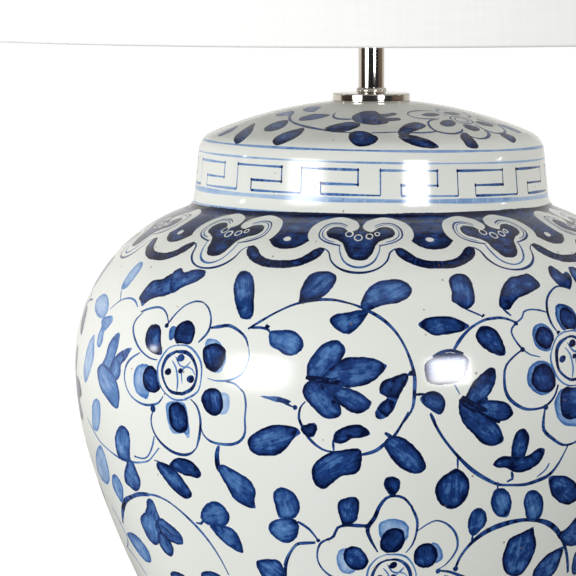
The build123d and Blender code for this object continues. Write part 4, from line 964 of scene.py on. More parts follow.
STEMS = [
    (1.1, 0.6, [(-25, 174.4), (-22.3, 178.9), (-19.5, 183.3), (-15.9, 187.6), (-11.4, 190), (-7.7, 189.8),
      (-5, 188.3)]),
    (0.9, 0.6, [(-24.8, 175), (-22.3, 175.3), (-20.7, 174.2), (-20.2, 172.2)]),
    (2.2, 0.8, [(-21.5, 176.4), (-20.7, 175.3)]),
    (1.2, 0.6, [(-7.7, 189.4), (-4.5, 187.8), (-1.4, 184.4), (1.4, 180), (3.6, 174.4), (5.2, 167.8), (6.4,
      160), (7, 153.3), (7, 146.7), (6.7, 138.9), (5.5, 133.3), (4.5, 130.2)]),
    (1.2, 0.6, [(5.9, 136.7), (4.5, 130), (3.2, 125), (1.4, 121.1), (0, 118.3), (-1.8, 116.7), (-4.1,
      115.8)]),
    (1, 0.6, [(-6.4, 117.6), (-9.1, 117.8), (-10.9, 120), (-12.5, 123.9), (-13.6, 128.9), (-14.3, 133.3),
      (-14, 138.3), (-13, 141.3)]),
    (1, 0.5, [(5, 153.3), (6.8, 154.9)]),
    (1.2, 0.7, [(7, 144.7), (8.9, 145)]),
    (0.9, 0.5, [(10, 136.1), (11.1, 130.2)]),
    (1, 0.6, [(17.7, 185), (21.1, 180.9)]),
    (1.4, 0.7, [(20.8, 180.6), (21.5, 181.8)]),
    (1.6, 0.75, [(10.5, 162.2), (12.3, 164.4), (14.1, 165), (16.4, 163.3)]),
    (1.3, 0.55, [(14.5, 165), (15.9, 170), (17.7, 174.4), (19.5, 177.2), (21.8, 179.4), (25, 180)]),
    (1.2, 0.55, [(23.6, 180.2), (25.9, 179.4), (28, 177.2)]),
    (0.8, 0.4, [(14.5, 148.9), (15.5, 144.4)]),
    (0.8, 0.34, [(-64.8, 177.8), (-62.7, 181.7), (-60.9, 183.9), (-58.2, 185), (-55.9, 183.9), (-54.3,
      181.1)]),
    (0.8, 0.34, [(-63.4, 188.3), (-62.5, 185.6), (-61.8, 183.3)]),
    (2.2, 0.56, [(-69.9, 68.9), (-68.2, 73.3), (-65.9, 78.3), (-63.2, 82.8), (-60, 85.6), (-55.9, 88.3),
      (-52.3, 89.1)]),
    (1.1, 0.5, [(-53.2, 89), (-50, 89.1), (-46.8, 87.2), (-44.1, 83.6), (-41.6, 78.9), (-39.1, 72.8), (-37,
      65.6), (-35.5, 57.8), (-34.5, 50)]),
    (0.9, 0.3, [(-74.1, 122.2), (-70.9, 116.7), (-68.2, 112.2), (-65, 109.4), (-61.4, 106.7), (-58.6,
      105.3), (-55.5, 105), (-52.3, 105.6), (-49.5, 107.2), (-47.3, 111.1), (-45.7, 114.4)]),
    (0.9, 0.42, [(-54.1, 108.3), (-51.4, 107.8), (-49.5, 109.4), (-47.7, 114.4), (-46.6, 120)]),
    (1.4, 0.7, [(-54.1, 108.3), (-53.4, 108.2)]),
    (0.8, 0.3, [(-75, 76.7), (-73.2, 73.3), (-71.8, 67.8), (-71.1, 62.2)]),
    (0.8, 0.3, [(-75.9, 53.9), (-72.3, 57.8), (-70.5, 63.3)]),
    (1.1, 0.3, [(-75, 54.4), (-72.3, 51.1), (-70.5, 47.8), (-68.2, 41.1)]),
    (0.7, 0.6, [(-47.8, 107.8), (-45.9, 107.2)]),
    (1, 0.6, [(-39.9, 77.2), (-38.6, 77), (-37.5, 79.4)]),
    (1.9, 0.68, [(-30.8, 118.3), (-31.4, 114.4), (-31.6, 108.9), (-31.3, 105)]),
    (1.1, 0.55, [(-15.9, 81.7), (-13.6, 77.8), (-11.9, 72)]),
    (1.5, 0.55, [(-12.5, 70.8), (-15.2, 70.2), (-16.6, 69.4), (-18.2, 65), (-19.5, 58.9), (-20.2, 52.2),
      (-20.5, 45.6)]),
    (0.8, 0.32, [(-16.4, 69.8), (-18.6, 64.4), (-20.1, 57.8)]),
    (1, 0.6, [(-17.7, 141.1), (-15.2, 138.3)]),
    (0.8, 0.55, [(-8, 123.3), (-7.9, 117.8)]),
    (1.4, 0.7, [(1.6, 126.9), (3.2, 123.9)]),
    (0.9, 0.5, [(10, 136.1), (11, 130)]),
    (0.9, 0.5, [(15.5, 114.7), (15.7, 108.7)]),
    (1.2, 0.6, [(20.5, 73.6), (20.6, 69.8)]),
    (1, 0.6, [(24.3, 101.1), (24.5, 97.2)]),
    (2, 0.6, [(17.7, 56.1), (18.4, 62.2), (19.8, 67.8), (21.8, 72.8), (24.5, 76.7), (27.7, 79.1), (30.9,
      80.2), (33.6, 80), (36.8, 78.7), (39.5, 76.1), (42.3, 71.7), (45, 65.6), (47.7, 57.8), (50.5, 47.8)]),
    (1.4, 0.62, [(10, 135.6), (10.9, 130.6), (12.7, 123.3), (15.5, 115), (18.6, 107.8), (21.8, 102.8),
      (24.5, 99.8), (27.3, 99.1), (30.5, 98.9), (33.6, 100.6), (35.9, 102.8), (37.7, 107.8), (39.5,
      116.7)]),
    (0.9, 0.45, [(35.5, 108.9), (34.8, 105.6), (33, 102.2)]),
    (1.1, 0.7, [(27, 106.1), (27.4, 102.2), (26.3, 100.9)]),
    (0.9, 0.6, [(25.7, 184.2), (27.2, 180.6)]),
    (0.9, 0.52, [(-52.7, 178.9), (-50.5, 180.9), (-47.7, 182.2), (-45.9, 181.1), (-44.5, 178.3), (-43.6,
      174.4)]),
    (0.9, 0.5, [(-51.8, 178.9), (-53.4, 175), (-53.7, 171.1), (-52.7, 166.7), (-50.9, 162.2), (-49.1,
      159.4), (-46.8, 157.2), (-45, 156.9)]),
    (0.9, 0.5, [(-44.1, 173.3), (-42.3, 180), (-40.5, 184.4), (-38.2, 186.7), (-36.4, 186.4)]),
    (0.9, 0.52, [(-36.4, 186.4), (-34.8, 183.9), (-33.6, 179.4), (-33.3, 174.4), (-33.9, 170.6), (-35.4,
      166.7)]),
    (0.9, 0.42, [(-50.1, 159.4), (-52.3, 156.7), (-53.9, 153.3), (-54.6, 147.8), (-54, 142.2), (-52.3,
      137.8), (-49.5, 135.2), (-46.8, 135), (-44.5, 136.7), (-43.3, 140)]),
    (1.2, 0.55, [(-33.4, 173.9), (-30.9, 175), (-29.1, 175.6), (-26.8, 173.3), (-25.2, 170), (-24.5,
      166.1)]),
    (0.7, 0.25, [(-24.5, 166.1), (-24.1, 161.1), (-25, 154.4), (-26.8, 150.9), (-29.1, 149.4), (-31.4,
      149.4), (-32.7, 150.2)]),
    (0.7, 0.3, [(-29.1, 149.4), (-26.8, 148.3), (-25.5, 145.6)]),
    (1, 0.48, [(-34.5, 127.2), (-34.1, 123.3), (-32.7, 120.2), (-30.5, 119.1), (-27.7, 119.4), (-25.9,
      121.7), (-25, 125.6), (-24.9, 132.2), (-24.6, 138.9), (-25, 144.4), (-25.7, 146.1)]),
    (1.1, 0.62, [(-46.1, 133.3), (-47, 127.8), (-46.6, 122.2), (-45, 117.2), (-42.3, 113.3), (-39.5, 112.2),
      (-37.3, 113.6), (-35.9, 116.7)]),
    (1, 0.6, [(-35.9, 116.7), (-34.9, 123.3), (-34.5, 130.6), (-35.2, 136.7), (-36.6, 139.8)]),
    (1, 0.6, [(44.1, 192.2), (41.8, 194.2), (40, 193.9), (37.7, 190.6), (36.4, 186.7), (35.8, 181.1), (36.1,
      175.6), (37.3, 170.6)]),
    (0.9, 0.48, [(28, 177.2), (29.5, 179.4), (30.2, 182.2), (31.8, 183.3), (34.1, 182.6), (35.7, 181.3)]),
    (1, 0.62, [(28.1, 177.2), (26.8, 174.4), (26.7, 171.1), (27.7, 166.7), (28.6, 164.2)]),
    (0.7, 0.36, [(28.6, 164.2), (30, 161.7), (32.3, 160.2)]),
    (1.2, 0.66, [(28.6, 164.2), (26.8, 161.7), (24.8, 157.2), (24.3, 152.2), (24.5, 145.6), (25.7, 140.6),
      (28.2, 136.7), (30.5, 135.8), (33.2, 136.9), (35.2, 141.1), (36.1, 146.7)]),
    (1.2, 0.62, [(33.3, 136.9), (33, 132.2), (33.2, 125.6), (35.5, 120.9), (38.2, 117.4), (40.9, 117.8),
      (43.2, 120.9), (44.5, 127.8)]),
    (1.5, 0.8, [(0.5, 66.1), (-1.1, 73.3), (-1.6, 78.9), (-0.2, 84.4), (0.7, 90), (2, 94.4), (3.6, 95.6),
      (5.5, 94.4), (7.3, 89.4)]),
    (1, 0.6, [(6.8, 91.1), (8.3, 83.3), (8.4, 76.7), (7.7, 70), (6.4, 65.6)]),
    (0.9, 0.5, [(8.6, 77.2), (10.5, 80.6), (12.3, 82.4), (14.5, 80.6), (16.6, 75.6), (17.5, 68.9), (16.8,
      63.3), (15.2, 58.3), (13.6, 56.1)]),
    (1.5, 0.72, [(-1.4, 80), (-3.6, 80.2), (-5.9, 80.3), (-7.7, 78.9), (-8.6, 74.4), (-10, 72.2)]),
    (1, 0.55, [(-9.5, 73.3), (-11.6, 70), (-12.4, 63.3), (-11.8, 57.8), (-10.2, 53.6), (-8.2, 51.1)]),
    (1.3, 0.6, [(13.6, 55.6), (16.4, 54.7), (19.1, 52.2), (21.4, 50)]),
]
SEAMS = [
    (2.8, 1, [(-13, 152.6), (-10.4, 151.4), (-7.6, 150.6), (-4.6, 148.4)]),
    (1.8, 0.95, [(-10.6, 149.6), (-9.0, 145.4), (-7.6, 140.4), (-6.6, 136.4)]),
    (1.4, 0.9, [(-8.6, 151.2), (-6.2, 153.4), (-3.4, 155)]),
    (3.4, 1, [(15.9, 143.4), (17.4, 140.5), (19, 138.2), (21, 136)]),
    (3, 1, [(15.5, 142.2), (17.3, 138.9), (19.4, 136.3)]),
    (2.2, 0.95, [(18.4, 138.8), (19.6, 140.8), (21, 142.2)]),
    (2, 0.95, [(18.2, 137.6), (20.8, 133.6), (23.6, 130.4)]),
    (1.8, 0.95, [(-52.4, 75.6), (-52.1, 70.6), (-51.4, 66)]),
    (1.6, 0.95, [(-51.4, 73.6), (-49.4, 70.6), (-47.8, 67)]),
]
KNOTS = [
    (2.4, 0.8, (27.9, 176.9)),
    (2.6, 0.85, (28.5, 164.2)),
    (3, 0.7, (33.3, 136.4)),
    (3.6, 0.75, (-46.2, 133.3)),
    (2.6, 0.8, (-44, 173.6)),
    (2.6, 0.85, (6.4, 154.7)),
    (3, 0.8, (-1.7, 79.8)),
    (2.6, 0.85, (37.4, 170.9)),
    (2.4, 0.7, (-15, 138.3)),
    (2.2, 0.7, (-11.9, 72)),
    (3, 0.65, (13.9, 55.3)),
    (3, 0.7, (17.8, 56.1)),
]
LID_LEAVES = [
    (0.78, [(-64, 304.2), (-61.9, 303.3), (-58.3, 300), (-53.5, 295), (-50.5, 288.3), (-50.8, 283.7),
      (-53.5, 283), (-57.1, 286.7), (-60.1, 293.3), (-62.5, 299.2)]),
    (0.76, [(-51.1, 305), (-49.3, 309.2), (-45.8, 310.8), (-42.2, 306.7), (-40.4, 300.8), (-42.8, 295.8),
      (-47, 295.8), (-50.2, 300)]),
    (0.86, [(-37.4, 289.2), (-36.2, 295), (-33.2, 299.2), (-30.2, 301.2), (-28.4, 296.7), (-29, 288.3),
      (-33.2, 283.3), (-36.2, 284.2)]),
    (0.6, [(-41, 315.8), (-38, 320.8), (-32, 322), (-25.5, 320.8), (-27.3, 315.8), (-33.2, 311.3), (-38.6,
      310.8)]),
    (0.5, [(-59.5, 333.3), (-54.7, 335.8), (-47.5, 335), (-42.8, 330), (-41, 325), (-47.5, 325), (-53.5,
      326.7), (-58.3, 330)]),
    (0.92, [(-20.7, 301.7), (-17.7, 306.7), (-12.9, 310), (-8.2, 310), (-5.8, 306.3), (-8.2, 300.8), (-12.9,
      296.7), (-17.7, 297.5)]),
    (0.95, [(-9.4, 294.2), (-7.6, 298.3), (-3.4, 298), (0.8, 292.5), (1.4, 288.3), (-1, 284.2), (-5.2,
      283.3), (-8.2, 286.7)]),
    (0.92, [(9.1, 294.2), (10.9, 301.7), (14.5, 306.7), (19.3, 309.7), (22.9, 308.3), (23.5, 304.2), (19.3,
      300), (15.1, 296.7), (12.1, 292.5)]),
    (0.95, [(8.9, 292.5), (12.1, 294.2), (15.7, 292.5), (19.3, 288.3), (21.9, 282.5), (18.1, 282), (13.9,
      283.3), (10.3, 286.7)]),
    (0.95, [(32.2, 283.3), (32.4, 289.2), (35.4, 294.2), (37.8, 294.2), (37.4, 287.5), (37, 281.7), (34.2,
      281.3)]),
    (0.82, [(52.5, 288.3), (55.1, 292.5), (58.1, 291.7), (59.3, 286.7), (56.3, 283.3), (53.9, 284.2)]),
    (0.82, [(-11.7, 318.3), (-9.9, 324.2), (-5.8, 328.3), (1.4, 328.7), (3.8, 324.2), (6.2, 318.3), (7.4,
      312.5), (6.2, 308.3), (0.2, 306.3), (-5.8, 308.3), (-9.9, 312.5)]),
    (0.76, [(1.4, 322.5), (7.4, 323.3), (13.3, 325.3), (14.8, 322.5), (8.6, 318.3), (3.8, 318.3)]),
    (0.76, [(2.6, 315.8), (8.6, 316.7), (13.6, 316.3), (13.9, 313), (8.6, 311.3), (3.8, 311.7)]),
    (0.84, [(32, 307.6), (35.8, 310.7), (40.2, 311.8), (41.6, 309.1), (40.4, 306), (36.4, 302.9), (33.2,
      302.6), (31.4, 304.5)]),
    (0.8, [(29.2, 320.8), (34.2, 323), (39.6, 323.4), (42.6, 321.7), (41.8, 319.6), (37.2, 317.8), (32.2,
      317.8), (29.6, 319.2)]),
    (0.86, [(42.8, 304.1), (45.4, 304.5), (47.6, 302.6), (48.6, 299.5), (47.2, 297.1), (43.8, 295.6), (41.8,
      297.5), (41.4, 300.6)]),
    (0.82, [(54.4, 306.8), (58.8, 307.4), (62.4, 305), (62.6, 301.6), (58.6, 299.8), (55.2, 301.4), (53.8,
      304.1)]),
    (0.8, [(48.6, 322.6), (54.4, 324), (60.4, 321.6), (59.4, 318.4), (53.2, 317.6), (49, 319.4)]),
    (0.5, [(65.8, 300), (69.4, 301.7), (73.6, 298.3), (73, 291.7), (68.2, 290)]),
    (0.45, [(-66.6, 318.3), (-63.1, 324.2), (-57.1, 323.3), (-51.1, 318.3), (-57.1, 315.8), (-63.1,
      315.8)]),
    (0.5, [(-72.6, 298.3), (-69, 296.7), (-66, 291.7), (-67.8, 286.7), (-71.4, 288.3)]),
]
LID_STEMS = [
    (1.8, 0.5, [(-52.3, 318.3), (-46.4, 312.5), (-39.2, 307.5), (-30.8, 303.3), (-22.5, 300), (-15.3,
      297.5), (-8.2, 296.3)]),
    (1.4, 0.4, [(-1, 296.3), (8.6, 297), (16.6, 296), (20.2, 296), (26.4, 297.1)]),
    (1.8, 0.5, [(-24.3, 325), (-22.5, 318.3), (-18.9, 315), (-14.1, 314.2), (-9.9, 314.7)]),
    (1.6, 0.62, [(35.8, 313.8), (29, 311.4), (25.8, 307.2), (24.8, 301.4), (25.8, 297.1), (29.2, 294.4),
      (32.8, 294.1), (36.8, 296.4), (38.8, 299.1)]),
    (1.4, 0.5, [(35.4, 313.4), (26.4, 314.5), (21.6, 318.4), (21.6, 323), (26.6, 326.9), (35.6, 328), (43.2,
      326.9), (46.2, 322), (45, 317.6)]),
    (1.5, 0.56, [(35.6, 293.7), (37.4, 290.6), (39.2, 287.9), (42.8, 287.6), (46.6, 290.2), (48.8, 293.3),
      (49.2, 296)]),
    (1.5, 0.56, [(51, 304.1), (50, 299.1), (50.6, 294.1), (53.8, 291.7), (58.4, 292.2), (62.6, 295.2), (65.2,
      300.6), (64.4, 306.4), (60.4, 309.8)]),
    (1.3, 0.46, [(46.2, 320), (47.4, 326), (54.6, 328.6), (62.4, 326.6), (66.4, 321.4), (64, 315.4), (57.6,
      313)]),
]


def paint_band(brush):
    """The pale lines and the key fret round the lid's band, all a little lower on one side of the
    jar, as the painter let them run."""
    sway = lambda t: -0.5 - 1.8 * math.sin(math.radians(t + brush.half))
    lines = ((250.3, 1.0, 0.34), (257.5, 2.2, 0.26), (275.5, 0.9, 0.34), (281.4, 1.2, 0.42))
    for run, width, tone in lines:
        brush.line([(t, run + sway(t)) for t in range(-90, 91, 6)], width, tone, 1.0, 6.0)
    pitch = 180 / 7
    fret = [(0, 260), (0, 272), (18.6, 272), (18.6, 265), (6.6, 265), (6.6, 260), (pitch, 260)]
    for unit in range(7):
        at = -75.2 + unit * pitch
        tone = (0.42, 0.56, 0.54, 0.48, 0.74, 0.82, 0.62)[unit]
        spots = [(at + t, run + sway(at + t)) for t, run in fret]
        for a, b in zip(spots, spots[1:]):
            brush.line([a, b], 1.15, tone, 0.9, 4.0)
        for a in spots[1:5]:
            brush.blob(a, 1.9, tone=tone + 0.2)


def mirrored(centre, half):
    """A closed outline round a centre line, from the points of its right half, top first."""
    right = [(centre + x, y) for x, y in half]
    left = [(centre - x, y) for x, y in half[::-1] if x]
    return right + left


def paint_collar(brush):
    """Cloud heads, each a trefoil in two bare hooks, on a dark ground, with swags between them."""
    heads = [-75.7 + 36 * unit for unit in range(5)]
    for head in heads:
        gap = head + 18
        brush.fill([(gap - 18.2, 249.6), (gap - 18.2, 238), (gap - 9, 234), (gap - 5.2, 225.5),
                    (gap - 3, 221), (gap, 219.4), (gap + 3, 221), (gap + 5.2, 225.5), (gap + 9, 234),
                    (gap + 18.2, 238), (gap + 18.2, 249.6)], 1.16)
        brush.blob((gap - 0.6, 227), 5.0, 3.6, tone=0.0)
        brush.fill(mirrored(gap, [(0, 212), (2.4, 212.3), (5, 214.6), (7.4, 220), (9.6, 221.4),
                                  (9.3, 216), (7, 211), (3.4, 207.6), (0, 207)]), 1.02)
    brush.line([(t, 249.9) for t in range(-90, 91, 6)], 1.8, 1.1, 1.0, 6.0)
    for head in heads:
        brush.bare(mirrored(head, [(0.5, 240), (1.3, 244), (3.2, 247), (6, 248.4), (9.2, 247.4),
                                   (12, 243.8), (13.5, 237.8), (13.7, 231), (12.5, 225.6), (10.2, 222),
                                   (7.8, 220), (7.0, 217.4), (6.3, 212.6), (4.6, 208.2), (2, 205.4)]))
        brush.fill(mirrored(head, [(0.3, 249.8), (0.5, 241), (0.7, 236.8), (2.2, 234), (3.4, 234.4),
                                   (4.6, 237.4), (6.8, 238.6), (8.4, 236.7), (9, 232.8), (8.2, 229.4),
                                   (6, 227.2), (4.1, 223.9), (3, 217.2), (1.4, 213)]), 1.18, gap=1.6)
        for side in (-1, 1):
            for width, tone, hook in (
                (1.15, 0.95, [(3.7, 239.4), (6, 242.2), (8.7, 241.7), (10.3, 237.8), (10.8, 233.3),
                             (10.4, 228.9), (8.7, 225.6), (6.4, 223.6), (4.6, 222.6)]),
                (0.7, 0.75, [(3.9, 237.9), (6, 240.6), (8.3, 240.2), (9.6, 237), (10, 233.3),
                             (9.6, 229.6), (8.1, 226.6), (6.2, 225.2)]),
            ):
                brush.line([(head + side * x, y) for x, y in hook], width, tone, 0.7, 1.8)
        for width, tone, cup in (
            (1.3, 0.75, [(8.4, 220.4), (7.1, 217.8), (6.3, 212.4), (4.4, 207.8), (1.6, 205.3)]),
            (1.1, 0.7, [(4.9, 223.3), (4.5, 217.8), (3.3, 211.8), (1.2, 208.6)]),
        ):
            brush.line([(head - x, y) for x, y in cup] + [(head + x, y) for x, y in cup[::-1]],
                       width, tone, 0.6, 1.8)
        for x, y, size in ((-2.9, 231.9, 2.3), (-0.5, 228.9, 2.4), (2.3, 230, 2.1), (4.3, 232, 1.5)):
            brush.ring((head + x, y), size, 0.9, 0.0)


def paint_roundel(brush, at):
    """A flower's round middle, with its two rings and the swirls inside."""
    brush.blob(at, 27.6, tone=0.0, ripple=0.0)
    brush.ring(at, 13.3, 1.0, 0.55)
    brush.ring(at, 10.3, 1.7, 0.95)
    inside = lambda points: [(at[0] + x / brush.square, at[1] + y) for x, y in points]
    brush.line(inside([(-4.6, 5.4), (-1.8, 2.0), (-0.6, -4.5), (-1.4, -9.2)]), 0.9, 0.6)
    brush.line(inside([(-2.6, 7.6), (0.2, 3.6), (3.8, 3.0), (6.4, 5.8)]), 0.9, 0.6)
    brush.line(inside([(2.0, -5.4), (1.6, 0.4), (4.0, 3.0), (7.6, 2.0), (9.4, -0.6)]), 0.8, 0.5)
    for x, y, long in ((0.6, 7.0, 4.6), (-6.6, 0.0, 4.2), (6.8, -2.6, 4.6), (0.8, 0.9, 3.0)):
        brush.blob(inside([(x, y)])[0], long, long * 0.8, 30, 0.95)


def paint_belly(brush, repeat):
    """Flowers, scrolling stems and leaves over the belly. What stands between the two flowers is
    brushed once more, that many degrees further round."""
    start = brush.half
    low_flower = (3.6, 52.0)

    def kept(points):
        turns = [t for t, r in points]
        return brush.half == start or (-31 < sum(turns) / len(turns) < 25.5 and max(turns) < 36)

    def upper_petal(points):
        return all(abs(t - low_flower[0]) < 16.5 and 48 < r < 97 for t, r in points)

    def turned_over(points):
        """A petal of the low flower again below it, where there is less room."""
        return [(2 * low_flower[0] - t, low_flower[1] - (r - low_flower[1]) * 0.75) for t, r in points]

    for beyond in (0.0, repeat):
        brush.half = start + beyond
        for width, tone, points in STEMS:
            if kept(points):
                brush.line(points, width * 1.25, min(1.0, tone + 0.28), 0.6)
                if upper_petal(points):
                    brush.line(turned_over(points), width * 1.25, min(1.0, tone + 0.28), 0.6)
        for tone, points in LEAVES:
            if kept(points):
                brush.fill(points, tone)
        for tone, points in WASHES + DABS:
            if kept(points):
                brush.fill(points, tone)
                if upper_petal(points):
                    brush.fill(turned_over(points), tone)
        for width, tone, points in SEAMS:
            if kept(points):
                brush.line(points, width, tone, 0.5)
        for size, tone, at in KNOTS:
            if kept([at]):
                brush.blob(at, size, tone=tone)
        for at in ((-39.3, 151.8), (40.1, 158.6), low_flower):
            if kept([at]):
                paint_roundel(brush, at)
    brush.half = start


def paint_foot(brush):
    """A trail of small leaves round the narrow part, and two lines above the foot."""
    for first, last in ((-84, -6), (14, 72)):
        brush.line([(t, 24 + 3.4 * math.sin(t * 0.2443 + 0.6)) for t in range(first, last + 1, 4)], 1.3, 0.85)
    for at, long, heading in (
        ((-84.5, 33), 16, 35), ((-70, 31), 17, -28), ((-57, 33), 16, 140), ((-44, 32), 17, 20),
        ((-30, 35), 18, 60), ((-15, 31), 17, 150), ((22, 33), 17, 40), ((34, 35), 17, -20),
        ((47, 33), 17, 150), ((60, 35), 17, 35), ((-77, 17), 16, 200), ((-63, 18), 16, -15),
        ((-50, 17), 16, 165), ((-36, 18), 17, -25), ((-22, 17), 15, 170), ((-9, 18), 14, 10),
        ((16, 17), 14, 190), ((29, 18), 16, -20), ((42, 17), 16, 160), ((55, 18), 16, -15),
        ((67, 17), 15, 170),
    ):
        brush.leaf(at, long * 1.25, 9.0, heading, 0.88, bend=brush.chance.uniform(-1.5, 1.5))
    for at in ((-77, 27), (-50, 27.5), (-23, 26), (29, 27.5), (54, 27), (-64, 24.5), (-37, 25)):
        brush.blob(at, 3.4, tone=0.85)
    for run, width, tone in ((7.0, 1.7, 0.62), (10.6, 0.9, 0.5)):
        brush.line([(t, run) for t in range(-90, 91, 6)], width, tone, 1.0, 6.0)


def paint_lid(brush):
    """Leaves and flowers round the lid's dome."""
    brush.square = LID_SQUARE
    for width, tone, points in LID_STEMS:
        brush.line(points, width * 1.1, tone + 0.3, 0.6)
    for tone, points in LID_LEAVES:
        brush.fill(points, min(1.0, tone + 0.14))
    for radius, width, tone in ((8.6, 1.2, 0.85), (5.2, 0.9, 0.7)):
        brush.ring((48.4, 310.6), radius, width, tone, 0.62)
    brush.square = SQUARE


class LAMP_OT_jar(Operator):
    """Build the porcelain jar with its brushed decoration"""

    bl_idname = "lamp.jar"
    bl_label = "Painted jar"

    def execute(self, context):
        jar = context.scene.lamp_jar
        skin = Skin(jar)
        brush = Brush(11)
        for brush.half in (0.0, 180.0):
            paint_band(brush)
            paint_collar(brush)
            paint_belly(brush, math.degrees(jar.repeat))
            paint_foot(brush)
            paint_lid(brush)
        mesh = painted_mesh(skin, brush, jar)
        piece = new_piece("jar", mesh)
        dress(piece, painted_glaze(jar), "base", "porcelain", "jar_body")
        return {"FINISHED"}


